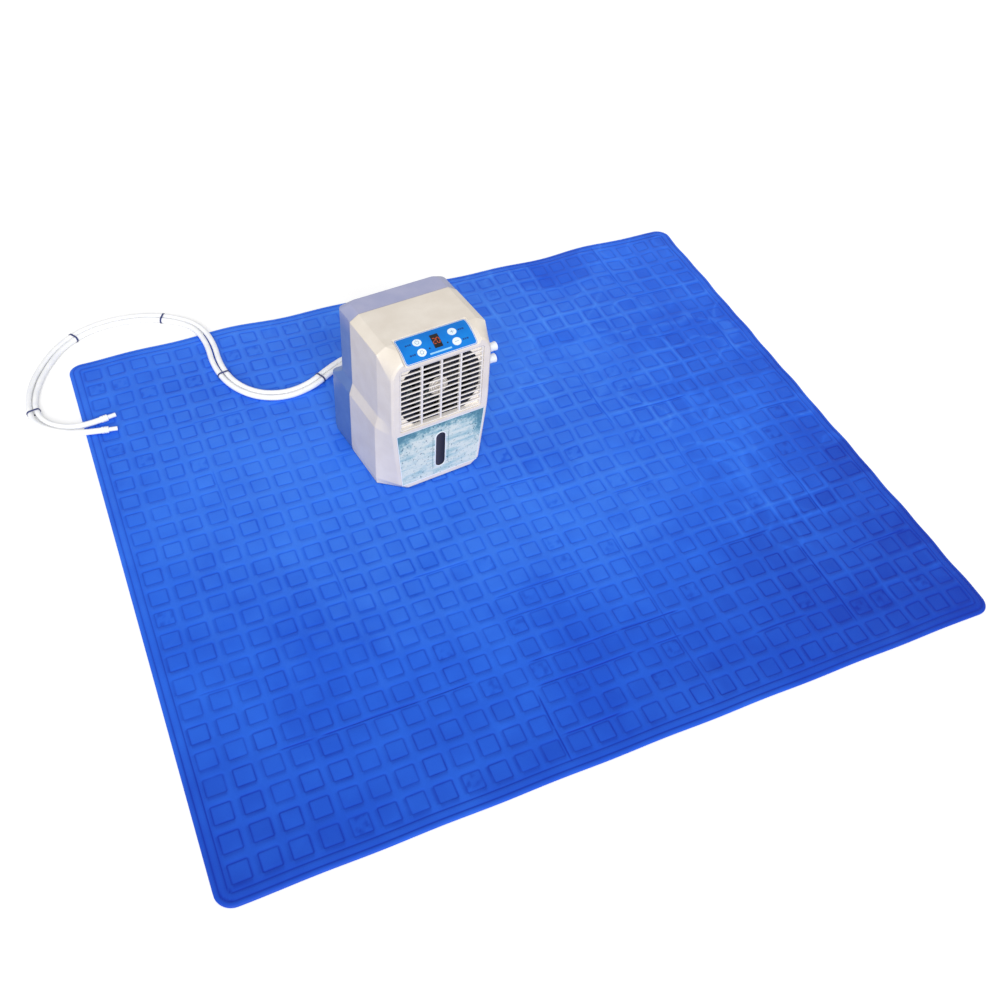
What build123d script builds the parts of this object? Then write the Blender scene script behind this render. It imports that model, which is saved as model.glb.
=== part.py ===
# Water cooling mattress pad: a welded pad, two hoses, and the cooling unit that stands on the pad.
# Millimetres. The origin is the centre of the pad's underside, and the unit's front looks along -Y.

import os
from math import atan2, cos, hypot, radians, sin, sqrt, tan

from build123d import *

os.makedirs("parts", exist_ok=True)

# Pad
pad_width = 1600
pad_depth = 1400
pad_thick = 6
pad_corner = 32
pad_edge_round = 2
pad_turn = -7  # degrees that the pad lies turned under the unit
weld_line_insets = (8, 22)
weld_line_width = 2.4
weld_line_depth = 1

# Hoses
hose_diameter = 13
lay_gap = 0.3  # room between a hose and what it lies on
tie_width = 4
tie_wall = 0.9
tie_gap = 0.5

# Port on the pad, where the hoses start
port_exit = (-60, 503)  # middle of the two hose ends
port_hose_spacing = 15
port_patch_size = (120, 84)
port_patch_corner = 14
port_patch_thick = 1.2
port_block_size = (46, 40)
port_block_height = 15
port_collar_length = 8

# Hose connectors
collar_radius = 7.5
collar_length = 16
tip_length = 18
tip_radius = 4.7
tip_bore_radius = 3

# Cooling unit: place, overall size and walls
unit_x = -112
unit_y = 64
unit_height = 360
foot_height = 2
foot_radius = 9
foot_insets = (18, 20)  # from the base's narrow front and from its sides
foot_depths = (22, 232)
wall = 2.5
fit = 0.3  # clearance between pieces that slot together

# Front film and grille. The grille fills the front face from the film up to the control panel.
film_thick = 0.5
film_recess = 0.6
film_low = 13
film_high = 160
ramp_front_height = unit_height - 26
grille_gap = 8
grille_size = (190, ramp_front_height - film_high - 2 * grille_gap)
grille_height = (ramp_front_height + film_high) / 2

# Housing outline seen from the front, half widths set out from the grille's side
skirt_top = 18
waist_low = 163
waist_high = 190
front_upper_half = grille_size[0] / 2 + 18
front_waist_half = front_upper_half - 1
front_skirt_half = front_waist_half - 14
front_bottom_half = front_skirt_half - 18
front_top = unit_height - 8
front_corner_radius = 48
front_bevel = 4
bottom_bevel = 2
body_upper_half = front_upper_half + 9
body_lower_half = body_upper_half + 8
body_bottom_half = body_lower_half - 2
top_chamfer_width = 20
top_chamfer_height = 13
film_high_half = front_waist_half - 8
film_low_half = front_skirt_half - 7

# Housing depth
corner_depth = 46  # where the band from the front face reaches the side panels
seam_depth = 162
seam_step = 0.8
lower_rear = 254
top_rear_setback = 10
upper_rear = 221
rear_corner_radius = 14
rear_bottom_draft = 2
lip_length = 4
lip_wall = 1.4
lip_fit = 0.2

# Control panel on the curved ramp between the front face and the top
ramp_back_depth = 58
ramp_back_height = unit_height - 2
ramp_radius = 95
scoop_half = front_upper_half - 31
scoop_flare = 14
scoop_flare_rise = 22
label_width = 2 * scoop_half - 4
label_margin = 1.2
label_thick = 0.4
label_corner = 6
key_size = (19, 16)
key_columns = 78
key_rows = (9.4, -13.5)  # up the slope from the panel's middle
key_fit = 0.2
key_proud = 1.2
key_travel = 1
key_flange_size = (22, 19)
key_flange_top = -0.4
key_flange_thick = 1.2
key_stem_radius = 2.5
key_stem_low = -4.2
display_size = (18, 30)
display_at = 1.6
light_radius = 1.5
light_columns = 40
light_row = -10

# Control board
board_size = (122, 38)
board_thick = 1.6
switch_body = (6, 6, 3.5)
switch_plunger = (1.7, 1.5)
post_spacing = (108, 30)
post_radius = 3
post_pilot = 1.4
screw_radius = 1.3
screw_head = (2.6, 1.8)

# Front grille
grille_corner = 6
grille_rim = 3
grille_front = 2
grille_back = 9
slat_count = 11
slat_thick = 3
slat_depth = 5
slat_front = 2.6
slat_tilt = 20
rib_pitch = 44
rib_width = 4
opening_radius = 96
opening_half_width = grille_size[0] / 2 - 3
grille_plate_thick = 2.5
plate_rim = 2
plate_gap = 0.2
ear_radius = 5
ear_out = 7  # from the grille's side
ear_in = 19  # from its top and bottom
ear_at = (grille_size[0] / 2 + ear_out, grille_size[1] / 2 - ear_in)

# Fan
fan_bore_margin = 4
fan_tube_wall = 2
fan_flange_thick = 2
fan_tube_depth = 41
blade_count = 7
blade_tip_gap = 2
blade_thick = 2
blade_root = (26, 42)  # chord and pitch in degrees
blade_tip = (44, 24)
hub_radius = 21.5
hub_wall = 2
hub_front = 17
hub_length = 26
hub_dome = 4
shaft_radius = 2
bearing_radius = 5.5
bearing_length = 4
bearing_bore_gap = 0.05
bearing_tube_wall = 2
bearing_tube_front = hub_front + 7
strut_count = 4
strut_width = 8
strut_thick = 4
stator_radius = 17
stator_length = 14

# Radiator
radiator_side_room = 36
radiator_half_width = body_upper_half - radiator_side_room
radiator_low = 192
radiator_high = unit_height - 32
radiator_front = 150
radiator_depth = 22
radiator_tubes = 8
radiator_fins = 12
radiator_tube_thick = 3
radiator_fin_thick = 1
end_tank_width = 14
end_tank_over = 2

# Water tank, lid and pump
tank_front = 8
tank_rear = 236
tank_half = body_lower_half - 18
tank_front_half = front_bottom_half - 6
tank_corner_depth = 44
tank_wall = 2.2
tank_top = 150
tank_lid_thick = 2.5
tank_lid_over = 1.5
window_size = (22, 94)
window_height = 83
window_flange = 2
pump_at = (-60, 205)
pump_size = (44, 46, 44)
pump_cover_thick = 3
volute_radius = 16
volute_depth = 12
impeller_radius = 13.5
impeller_height = 8
impeller_vanes = 6
magnet_radius = 7
magnet_length = 18
magnet_gap = 0.8
pump_pin_radius = 1.1
pump_pin_gap = 0.1
float_at = (70, 195)
float_radius = 11
float_height = 14
float_stem_radius = 3
float_gap = 0.5
float_low = 24
float_travel = 35

# Tubes inside the unit
tube_radius = 4
tube_bore = 2.6
tail_radius = 2.5
tail_length = 6
tube_bend = 20
tube_tight_bend = 9
tube_outward = 4
tube_side = radiator_half_width + tube_outward
tube_level = 162
tube_cross_depth = 120
clip_wall = 1
clip_width = 5
clip_foot = 16

# The fan is as large as the grille's height and the tubes at its sides allow.
tube_gap = 1
fan_bore_radius = min(
    grille_size[1] / 2 - fan_bore_margin, tube_side - tube_radius - tube_gap - fan_tube_wall
)
blade_radius = fan_bore_radius - blade_tip_gap

# Nozzles on the unit's right side
nozzle_depth = 34
nozzle_drops = (108, 77)  # below the unit's top
nozzle_heights = tuple(unit_height - drop for drop in nozzle_drops)
nozzle_radius = 9
nozzle_rim = (9.6, 4)
nozzle_reach = body_upper_half + 22
nozzle_bore_radius = 4.8
nozzle_bore_length = 18
nozzle_neck_radius = 7
nozzle_neck_end = front_upper_half - 8
nozzle_seat_radius = 12
nut_radius = 11.5
nut_thick = 5

# Filler on the rear shoulder
cap_radius = 18
cap_thick = 4
cap_plug_length = 11
neck_radius = 15
neck_wall = 2
neck_fit = 0.3
neck_hole = (24, 30)
neck_hole_depth = 215

# Rear pieces
intake_low = 204
intake_width = 176
intake_top_room = 36
intake_size = (intake_width, unit_height - intake_top_room - intake_low)
intake_height = intake_low + intake_size[1] / 2
intake_flange = 4
intake_flange_thick = 2.5
intake_slot_height = 8
intake_web = 3.8  # least material between two slots
intake_rim = 2.5
intake_rim_depth = 7
filter_thick = 3
inlet_at = (84, 60)
inlet_radius = 5.6
inlet_bore_radius = 2.8
inlet_bore_length = 9
inlet_flange = (8, 2)
inlet_pin_radius = 1
drain_height = 22
drain_radius = 8
drain_bore = 5
drain_plug_head = (9.5, 3)
drain_plug_length = 14

# Base
base_thick = 3
boss_radius = 4.5
boss_height = 18
boss_at = body_lower_half - 10.5
boss_depths = (66, 226)
base_screw_radius = 1.6
base_screw_head = (3.2, 2)
base_screw_length = 14


# Planes in the unit's own frame: x to the right, depth back from the front face, height from the pad.
def level(height):
    return Plane((unit_x, unit_y, pad_thick + height))


def upright(depth):
    return Plane(origin=(unit_x, unit_y + depth, pad_thick), x_dir=(1, 0, 0), z_dir=(0, -1, 0))


def sideways(across):
    return Plane(origin=(unit_x + across, unit_y, pad_thick), x_dir=(0, 1, 0), z_dir=(1, 0, 0))


# The pad lies turned, and the port on it lies turned with it.
pad_plane = Plane.XY.rotated((0, 0, pad_turn))

with BuildPart() as mat_pad:
    with BuildSketch(pad_plane):
        RectangleRounded(pad_width, pad_depth, pad_corner)
    extrude(amount=pad_thick)
    fillet(mat_pad.edges().group_by(Axis.Z)[-1], radius=pad_edge_round)
    with BuildSketch(pad_plane.offset(pad_thick)):
        for inset in weld_line_insets:
            outer = inset
            inner = inset + weld_line_width
            RectangleRounded(pad_width - 2 * outer, pad_depth - 2 * outer, pad_corner - outer)
            RectangleRounded(
                pad_width - 2 * inner, pad_depth - 2 * inner, pad_corner - inner, mode=Mode.SUBTRACT
            )
    extrude(amount=-weld_line_depth, mode=Mode.SUBTRACT)
mat_pad.part.label = "mat_pad"
export_step(mat_pad.part, "parts/mat_pad.step")

hose_radius = hose_diameter / 2
tie_radius = hose_radius + tie_gap + tie_wall
on_pad = pad_thick + tie_radius + lay_gap
on_floor = tie_radius + lay_gap
at_end = pad_thick + collar_radius + lay_gap
port_plane = Plane(
    origin=(*port_exit, pad_thick), x_dir=(cos(radians(pad_turn)), sin(radians(pad_turn)), 0)
)
port_hose_sides = (-port_hose_spacing / 2, port_hose_spacing / 2)

with BuildPart() as port_patch:
    with BuildSketch(port_plane):
        with Locations((port_collar_length + port_block_size[0] / 2, 0)):
            RectangleRounded(*port_patch_size, port_patch_corner)
    extrude(amount=port_patch_thick)
    fillet(port_patch.edges().group_by(Axis.Z)[-1], radius=port_patch_thick / 2)
port_patch.part.label = "port_patch"
export_step(port_patch.part, "parts/port_patch.step")

with BuildPart() as port_spigots:
    with BuildSketch(port_plane.offset(port_patch_thick)):
        with Locations((port_collar_length + port_block_size[0] / 2, 0)):
            RectangleRounded(*port_block_size, 8)
    extrude(amount=port_block_height - port_patch_thick)
    fillet(port_spigots.edges().group_by(Axis.Z)[-1], radius=3)
    for side in port_hose_sides:
        mouth = Plane(
            origin=port_plane.from_local_coords((0, side, on_pad - pad_thick)), z_dir=port_plane.x_dir
        )
        with BuildSketch(mouth):
            Circle(hose_radius)
        extrude(amount=port_collar_length + 4)
port_spigots.part.label = "port_spigots"
export_step(port_spigots.part, "parts/port_spigots.step")

# The hoses' routes, from the port, over the pad's far edge, round on the floor and back onto the pad.
route_a = [
    (-60.9, 495.6, on_pad), (-112, 501.9, on_pad), (-169, 481, on_pad), (-230, 451, on_pad),
    (-300, 444, on_pad), (-361, 476, on_pad), (-399, 543, on_pad), (-405, 626, on_pad),
    (-388, 706, on_pad), (-390, 779, on_pad), (-421, 833, on_floor), (-477, 873, on_floor),
    (-549, 891, on_floor), (-620, 888, on_floor), (-684, 858, on_floor), (-734, 807, on_floor),
    (-775, 748, on_floor), (-801, 686, on_floor), (-803, 634, on_floor), (-781, 585, on_pad),
    (-734, 560, at_end), (-690, 563, at_end),
]
route_b = [
    (-59.1, 510.4, on_pad), (-111, 516.8, on_pad), (-175, 495, on_pad), (-234, 465, on_pad),
    (-296, 460, on_pad), (-351, 488, on_pad), (-385, 547, on_pad), (-389, 624, on_pad),
    (-372, 704, on_pad), (-375, 780, on_pad), (-409, 843, on_floor), (-471, 887, on_floor),
    (-547, 907, on_floor), (-624, 902, on_floor), (-692, 870, on_floor), (-746, 817, on_floor),
    (-789, 756, on_floor), (-815, 690, on_floor), (-820, 628, on_floor), (-792, 574, on_pad),
    (-743, 541, at_end), (-699, 529, at_end),
]


def bend_radii(points):
    """Each corner's arc takes 0.45 of the shorter of its two runs."""
    radii = []
    for before, here, after in zip(points, points[1:], points[2:]):
        first = Vector(*here) - Vector(*before)
        second = Vector(*after) - Vector(*here)
        turn = radians(first.get_angle(second))
        radii.append(0.45 * min(first.length, second.length) / tan(turn / 2))
    return radii


def check_tube(name, path, points, section, solid):
    radii = bend_radii(points)
    length = path.wire().length
    print(name, "length", round(length, 1), "smallest bend", round(min(radii), 1))
    print(name, "radii", [round(radius) for radius in radii])
    print(name, "volume over section times length", round(solid.volume / (section * length), 4))


with BuildPart() as hose_a:
    with BuildLine() as path_a:
        FilletPolyline(*route_a, radius=bend_radii(route_a))
    with BuildSketch(Plane(origin=path_a.line @ 0, z_dir=path_a.line % 0)) as section_a:
        Circle(hose_radius)
    sweep(path=path_a.line)
hose_a.part.label = "hose_a"
export_step(hose_a.part, "parts/hose_a.step")
check_tube("hose_a", path_a, route_a, section_a.sketch.area, hose_a.part)

with BuildPart() as hose_b:
    with BuildLine() as path_b:
        FilletPolyline(*route_b, radius=bend_radii(route_b))
    with BuildSketch(Plane(origin=path_b.line @ 0, z_dir=path_b.line % 0)) as section_b:
        Circle(hose_radius)
    sweep(path=path_b.line)
hose_b.part.label = "hose_b"
export_step(hose_b.part, "parts/hose_b.step")
check_tube("hose_b", path_b, route_b, section_b.sketch.area, hose_b.part)

# Each tie goes round both hoses in the middle of a straight run, named by the run's first point.
tie_run_counts = (2, 6, 10, 13, 17)


def middle(points, run):
    return (Vector(*points[run]) + Vector(*points[run + 1])) / 2


with BuildPart() as hose_ties:
    for run in tie_run_counts:
        here_a = middle(route_a, run)
        here_b = middle(route_b, run)
        along = Vector(*route_a[run + 1]) - Vector(*route_a[run])
        across = here_b - here_a
        upward = along.cross(across)
        tie_plane = Plane(origin=(here_a + here_b) / 2, x_dir=across, z_dir=across.cross(upward))
        with BuildSketch(tie_plane):
            SlotCenterToCenter(across.length, 2 * tie_radius)
            SlotCenterToCenter(across.length, 2 * (tie_radius - tie_wall), mode=Mode.SUBTRACT)
        extrude(amount=tie_width / 2, both=True)
hose_ties.part.label = "hose_ties"
export_step(hose_ties.part, "parts/hose_ties.step")


def connector_plane(points):
    return Plane(origin=points[-1], z_dir=Vector(*points[-1]) - Vector(*points[-2]))


def build_connector(plane):
    """A ribbed collar that the hose ends in, then the tip that plugs into the unit's nozzle."""
    with BuildPart() as connector:
        with BuildSketch(plane):
            Circle(collar_radius)
        extrude(amount=collar_length)
        chamfer(connector.edges().filter_by(GeomType.CIRCLE), length=1)
        for groove in (0.35, 0.65):
            with BuildSketch(plane.offset(groove * collar_length)):
                Circle(collar_radius + 1)
                Circle(collar_radius - 0.8, mode=Mode.SUBTRACT)
            extrude(amount=1.6, mode=Mode.SUBTRACT)
        with BuildSketch(plane.offset(collar_length)):
            Circle(tip_radius)
        extrude(amount=tip_length)
        with BuildSketch(plane.offset(collar_length + tip_length)):
            Circle(tip_bore_radius)
        extrude(amount=-tip_length - collar_length / 2, mode=Mode.SUBTRACT)
    return connector


connector_a = build_connector(connector_plane(route_a))
connector_a.part.label = "connector_a"
export_step(connector_a.part, "parts/connector_a.step")

connector_b = build_connector(connector_plane(route_b))
connector_b.part.label = "connector_b"
export_step(connector_b.part, "parts/connector_b.step")


# Housing sections seen from the front: the front face, and the body behind the corner bands.
def front_section(depth, shrink, floor=foot_height):
    half = front_upper_half - shrink
    top = front_top - shrink
    side_top = front_top - front_corner_radius
    arc = front_corner_radius - shrink
    with BuildSketch(upright(depth)) as section:
        with BuildLine():
            Polyline(
                (front_bottom_half - shrink, floor), (front_skirt_half - shrink, skirt_top),
                (front_waist_half - shrink, waist_low), (half, waist_high), (half, side_top),
            )
            JernArc((half, side_top), (0, 1), arc, 90)
            Line((half - arc, top), (arc - half, top))
            JernArc((arc - half, top), (-1, 0), arc, 90)
            Polyline(
                (-half, side_top), (-half, waist_high), (shrink - front_waist_half, waist_low),
                (shrink - front_skirt_half, skirt_top), (shrink - front_bottom_half, floor),
            )
            Line((shrink - front_bottom_half, floor), (front_bottom_half - shrink, floor))
        make_face()
    return section.sketch.face()


def body_section(depth, shrink, floor=foot_height):
    low = body_lower_half - shrink
    high = body_upper_half - shrink
    top = unit_height - shrink
    chamfer_low = unit_height - top_chamfer_height - shrink / 2
    flat = body_upper_half - top_chamfer_width - shrink / 2
    with BuildSketch(upright(depth)) as section:
        with BuildLine():
            Polyline(
                (body_bottom_half - shrink, floor), (low, skirt_top), (low, waist_low),
                (high, waist_high), (high, chamfer_low), (flat, top), (-flat, top),
                (-high, chamfer_low), (-high, waist_high), (-low, waist_low), (-low, skirt_top),
                (shrink - body_bottom_half, floor), close=True,
            )
        make_face()
    return section.sketch.face()


# The ramp is an arc seen from the side. Its chord gives the slope of the keys and the board.
ramp_rise = ramp_back_height - ramp_front_height
ramp_slope = atan2(ramp_rise, ramp_back_depth)
ramp_chord = hypot(ramp_rise, ramp_back_depth)
ramp_centre_drop = sqrt(ramp_radius**2 - (ramp_chord / 2) ** 2)
ramp_middle = (ramp_back_depth / 2, ramp_front_height + ramp_rise / 2)
ramp_centre = (
    ramp_middle[0] + ramp_centre_drop * sin(ramp_slope), ramp_middle[1] - ramp_centre_drop * cos(ramp_slope)
)
key_plane = Plane(
    origin=(unit_x, unit_y + ramp_middle[0], pad_thick + ramp_middle[1]),
    x_dir=(1, 0, 0), z_dir=(0, -sin(ramp_slope), cos(ramp_slope)),
)
board_top = key_stem_low - key_travel - 0.1 - switch_plunger[1] - switch_body[2]
post_reach = 2  # how far up the slope's middle the posts run, into the ramp's wall
sky = unit_height + 40  # a height above everything


def ramp_height(depth, lift=0):
    return ramp_centre[1] + sqrt((ramp_radius + lift) ** 2 - (depth - ramp_centre[0]) ** 2)


def scoop_section(across, lift, back, raise_by):
    """The space above the ramp, seen from the side."""
    front = -4
    start = (0, ramp_height(0, lift) + raise_by)
    end = (back, ramp_height(back, lift) + raise_by)
    centre = (back / 2, ramp_height(back / 2, lift) + raise_by)
    with BuildSketch(sideways(across)) as section:
        with BuildLine():
            Polyline(end, (back, sky), (front, sky), (front, start[1]), start)
            ThreePointArc(start, centre, end)
        make_face()
    return section.sketch.face()


def build_scoop(grow, back):
    """What the ramp takes out of the housing: straight in the middle, with flared ends."""
    half = scoop_half + grow
    with BuildPart() as scoop:
        loft([scoop_section(-half, -grow, back, 0), scoop_section(half, -grow, back, 0)], ruled=True)
        for side in (-1, 1):
            inner = scoop_section(side * half, -grow, back, 0)
            outer = scoop_section(side * (half + scoop_flare), -grow, back, scoop_flare_rise)
            loft([inner, outer], ruled=True)
    return scoop


scoop = build_scoop(0, ramp_back_depth)
scoop_backing = build_scoop(wall, ramp_centre[0])


def build_panel_holes(clearance):
    """Straight holes for the keys, the display and the two lights, square to the board."""
    with BuildPart() as holes:
        with BuildSketch(key_plane.offset(-4)):
            for row in key_rows:
                with Locations((-key_columns / 2, row), (key_columns / 2, row)):
                    Ellipse(key_size[0] / 2 + clearance, key_size[1] / 2 + clearance)
            with Locations((0, display_at)):
                RectangleRounded(display_size[0] + 2 * clearance, display_size[1] + 2 * clearance, 1)
            with Locations((-light_columns / 2, light_row), (light_columns / 2, light_row)):
                Circle(light_radius + clearance)
        extrude(amount=20)
    return holes


panel_holes = build_panel_holes(key_fit)

with BuildPart() as front_cavity:
    below = foot_height - 1
    loft(
        [
            front_section(wall, front_bevel / 2 + wall, below),
            body_section(corner_depth, wall, below),
            body_section(seam_depth + 1, wall, below),
        ],
        ruled=True,
    )
    add(scoop_backing.part, mode=Mode.SUBTRACT)

with BuildPart() as front_shell:
    loft(
        [
            front_section(0, front_bevel, foot_height + bottom_bevel),
            front_section(front_bevel, 0),
            body_section(corner_depth, 0),
            body_section(seam_depth, 0),
        ],
        ruled=True,
    )
    # flat seats for the two nozzles on the right side
    with BuildSketch(sideways(front_upper_half - wall)):
        with Locations(*((nozzle_depth, height) for height in nozzle_heights)):
            Circle(nozzle_seat_radius)
    extrude(amount=body_upper_half - front_upper_half + wall)
    add(front_cavity.part, mode=Mode.SUBTRACT)
    add(scoop.part, mode=Mode.SUBTRACT)
    # posts for the control board
    with BuildSketch(key_plane.offset(board_top)):
        with GridLocations(*post_spacing, 2, 2):
            Circle(post_radius)
    extrude(amount=post_reach - board_top)
    with BuildSketch(key_plane.offset(board_top)):
        with GridLocations(*post_spacing, 2, 2):
            Circle(post_pilot)
    extrude(amount=8, mode=Mode.SUBTRACT)
    add(panel_holes.part, mode=Mode.SUBTRACT)
    # posts for the fan, window for the grille, recess and slot for the level window
    with BuildSketch(upright(wall / 2)):
        for side in (-1, 1):
            for up in (-1, 1):
                with Locations((side * ear_at[0], grille_height + up * ear_at[1])):
                    Circle(ear_radius - 1)
    extrude(amount=wall / 2 - grille_back - fit)
    with BuildSketch(upright(grille_back + fit)):
        for side in (-1, 1):
            for up in (-1, 1):
                with Locations((side * ear_at[0], grille_height + up * ear_at[1])):
                    Circle(post_pilot)
    extrude(amount=8, mode=Mode.SUBTRACT)
    with BuildSketch(upright(-1)):
        with Locations((0, grille_height)):
            RectangleRounded(*grille_size, grille_corner)
    extrude(amount=-wall - 3, mode=Mode.SUBTRACT)
    with BuildSketch(upright(0)):
        with BuildLine():
            Polyline(
                (film_low_half, film_low), (film_high_half, film_high),
                (-film_high_half, film_high), (-film_low_half, film_low), close=True,
            )
        make_face()
    extrude(amount=-film_recess, mode=Mode.SUBTRACT)
    with BuildSketch(upright(-1)):
        with Locations((0, window_height)):
            SlotOverall(window_size[1], window_size[0], rotation=90)
    extrude(amount=-wall - 3, mode=Mode.SUBTRACT)
    # holes for the nozzles' necks
    with BuildSketch(sideways(front_upper_half - 4 * wall)):
        with Locations(*((nozzle_depth, height) for height in nozzle_heights)):
            Circle(nozzle_neck_radius + key_fit)
    extrude(amount=30, mode=Mode.SUBTRACT)
    # screw bosses at the bottom, each joined to its side wall by a web
    for side in (-1, 1):
        with BuildSketch(level(foot_height + base_thick)):
            with Locations((side * boss_at, boss_depths[0])):
                Circle(boss_radius)
                with Locations((side * 4, 0)):
                    Rectangle(8, boss_radius)
        extrude(amount=boss_height)
    with BuildSketch(level(foot_height + base_thick)):
        with Locations((-boss_at, boss_depths[0]), (boss_at, boss_depths[0])):
            Circle(base_screw_radius + 0.1)
    extrude(amount=boss_height - 3, mode=Mode.SUBTRACT)
front_shell.part.label = "front_shell"
export_step(front_shell.part, "parts/front_shell.step")


# Rear half of the housing, lofted through outlines seen from above.
def plan_section(height, half, rear, shrink, front):
    side = half - shrink
    back = rear - shrink
    corner = rear_corner_radius - shrink
    with BuildSketch(level(height)) as section:
        with BuildLine():
            Line((side, front), (side, back - corner))
            JernArc((side, back - corner), (0, 1), corner, 90)
            Line((side - corner, back), (corner - side, back))
            JernArc((corner - side, back), (-1, 0), corner, 90)
            Polyline((-side, back - corner), (-side, front), (side, front))
        make_face()
    return section.sketch.face()


def rear_sections(shrink, floor, front):
    high_rear = upper_rear - top_rear_setback
    outlines = [
        (floor, body_bottom_half, lower_rear - rear_bottom_draft),
        (skirt_top, body_lower_half, lower_rear),
        (waist_low, body_lower_half, lower_rear),
        (waist_high, body_upper_half, upper_rear),
        (unit_height - top_chamfer_height, body_upper_half, upper_rear),
        (unit_height - shrink, body_upper_half - top_chamfer_width, high_rear),
    ]
    return [plan_section(height, half, rear, shrink, front) for height, half, rear in outlines]


# The sloped shoulder that carries the filler
shoulder_rise = waist_high - waist_low
shoulder_run = lower_rear - upper_rear
shoulder_middle = ((lower_rear + upper_rear) / 2 - seam_step, (waist_low + waist_high) / 2)
shoulder_plane = Plane(
    origin=(unit_x, unit_y + shoulder_middle[0], pad_thick + shoulder_middle[1]),
    x_dir=(1, 0, 0), z_dir=(0, shoulder_rise, shoulder_run),
)
rear_face = lower_rear - seam_step
intake_face = upper_rear - seam_step
intake_opening = (intake_size[0] - 2 * intake_flange, intake_size[1] - 2 * intake_flange)
lip_shrink = wall + lip_fit

with BuildPart() as rear_shell:
    loft(rear_sections(seam_step, foot_height, seam_depth), ruled=True)
    loft(
        rear_sections(seam_step + wall, foot_height - 1, seam_depth - 1), ruled=True, mode=Mode.SUBTRACT
    )
    # lip that slides inside the front half
    lip_front = seam_depth - lip_length
    lip_floor = foot_height + base_thick + 2
    extrude(body_section(lip_front, lip_shrink, lip_floor), amount=-lip_length - 2)
    extrude(
        body_section(lip_front, lip_shrink + lip_wall, lip_floor - 4),
        amount=-lip_length - 2, mode=Mode.SUBTRACT,
    )
    # intake opening, filler hole, power socket hole and drain hole
    with BuildSketch(upright(intake_face - wall - 5)):
        with Locations((0, intake_height)):
            Rectangle(*intake_opening)
    extrude(amount=-wall - 10, mode=Mode.SUBTRACT)
    with BuildSketch(shoulder_plane.offset(-wall - 4)):
        Circle(neck_radius + neck_fit)
    extrude(amount=wall + 8, mode=Mode.SUBTRACT)
    with BuildSketch(upright(rear_face - wall - 5)):
        with Locations(inlet_at):
            Circle(inlet_radius + fit)
        with Locations((0, drain_height)):
            Circle(drain_radius + fit)
    extrude(amount=-wall - 10, mode=Mode.SUBTRACT)
    for side in (-1, 1):
        with BuildSketch(level(foot_height + base_thick)):
            with Locations((side * boss_at, boss_depths[1])):
                Circle(boss_radius)
                with Locations((side * 4, 0)):
                    Rectangle(8, boss_radius)
        extrude(amount=boss_height)
    with BuildSketch(level(foot_height + base_thick)):
        with Locations((-boss_at, boss_depths[1]), (boss_at, boss_depths[1])):
            Circle(base_screw_radius + 0.1)
    extrude(amount=boss_height - 3, mode=Mode.SUBTRACT)
rear_shell.part.label = "rear_shell"
export_step(rear_shell.part, "parts/rear_shell.step")

# Base cover, screws and feet
base_shrink = seam_step + wall + fit
base_screw_places = [(side * boss_at, depth) for side in (-1, 1) for depth in boss_depths]
foot_places = [
    (side * (half - inset), depth) for side in (-1, 1)
    for half, inset, depth in zip((front_bottom_half, body_bottom_half), foot_insets, foot_depths)
]

with BuildPart() as base_cover:
    with BuildSketch(level(foot_height)):
        with BuildLine():
            base_side = body_bottom_half - base_shrink
            base_rear = lower_rear - rear_bottom_draft - base_shrink
            base_corner = rear_corner_radius - base_shrink
            base_front = front_bevel / 2 + wall + fit
            Polyline(
                (front_bottom_half - base_shrink, base_front), (base_side, corner_depth),
                (base_side, base_rear - base_corner),
            )
            JernArc((base_side, base_rear - base_corner), (0, 1), base_corner, 90)
            Line((base_side - base_corner, base_rear), (base_corner - base_side, base_rear))
            JernArc((base_corner - base_side, base_rear), (-1, 0), base_corner, 90)
            Polyline(
                (-base_side, base_rear - base_corner), (-base_side, corner_depth),
                (base_shrink - front_bottom_half, base_front), (front_bottom_half - base_shrink, base_front),
            )
        make_face()
        with Locations(*base_screw_places):
            Circle(base_screw_radius + 0.1, mode=Mode.SUBTRACT)
    extrude(amount=base_thick)
    with BuildSketch(level(foot_height)):
        with Locations(*base_screw_places):
            Circle(base_screw_head[0] + 0.1)
    extrude(amount=base_screw_head[1], mode=Mode.SUBTRACT)
base_cover.part.label = "base_cover"
export_step(base_cover.part, "parts/base_cover.step")

with BuildPart() as feet:
    with BuildSketch(level(0)):
        with Locations(*foot_places):
            Circle(foot_radius)
    extrude(amount=foot_height)
    chamfer(feet.edges().group_by(Axis.Z)[0], length=0.6)
feet.part.label = "feet"
export_step(feet.part, "parts/feet.step")

with BuildPart() as shell_screws:
    with BuildSketch(level(foot_height)):
        with Locations(*base_screw_places):
            Circle(base_screw_head[0])
    extrude(amount=base_screw_head[1])
    with BuildSketch(level(foot_height + base_screw_head[1])):
        with Locations(*base_screw_places):
            Circle(base_screw_radius)
    extrude(amount=base_screw_length)
shell_screws.part.label = "shell_screws"
export_step(shell_screws.part, "parts/shell_screws.step")

# Front grille: a rim, tilted slats and three upright ribs across them
slat_span = grille_size[0] - 2 * fit - grille_rim
field_height = grille_size[1] - 2 * fit - 2 * grille_rim
slat_pitch = field_height / (slat_count + 1)

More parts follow.
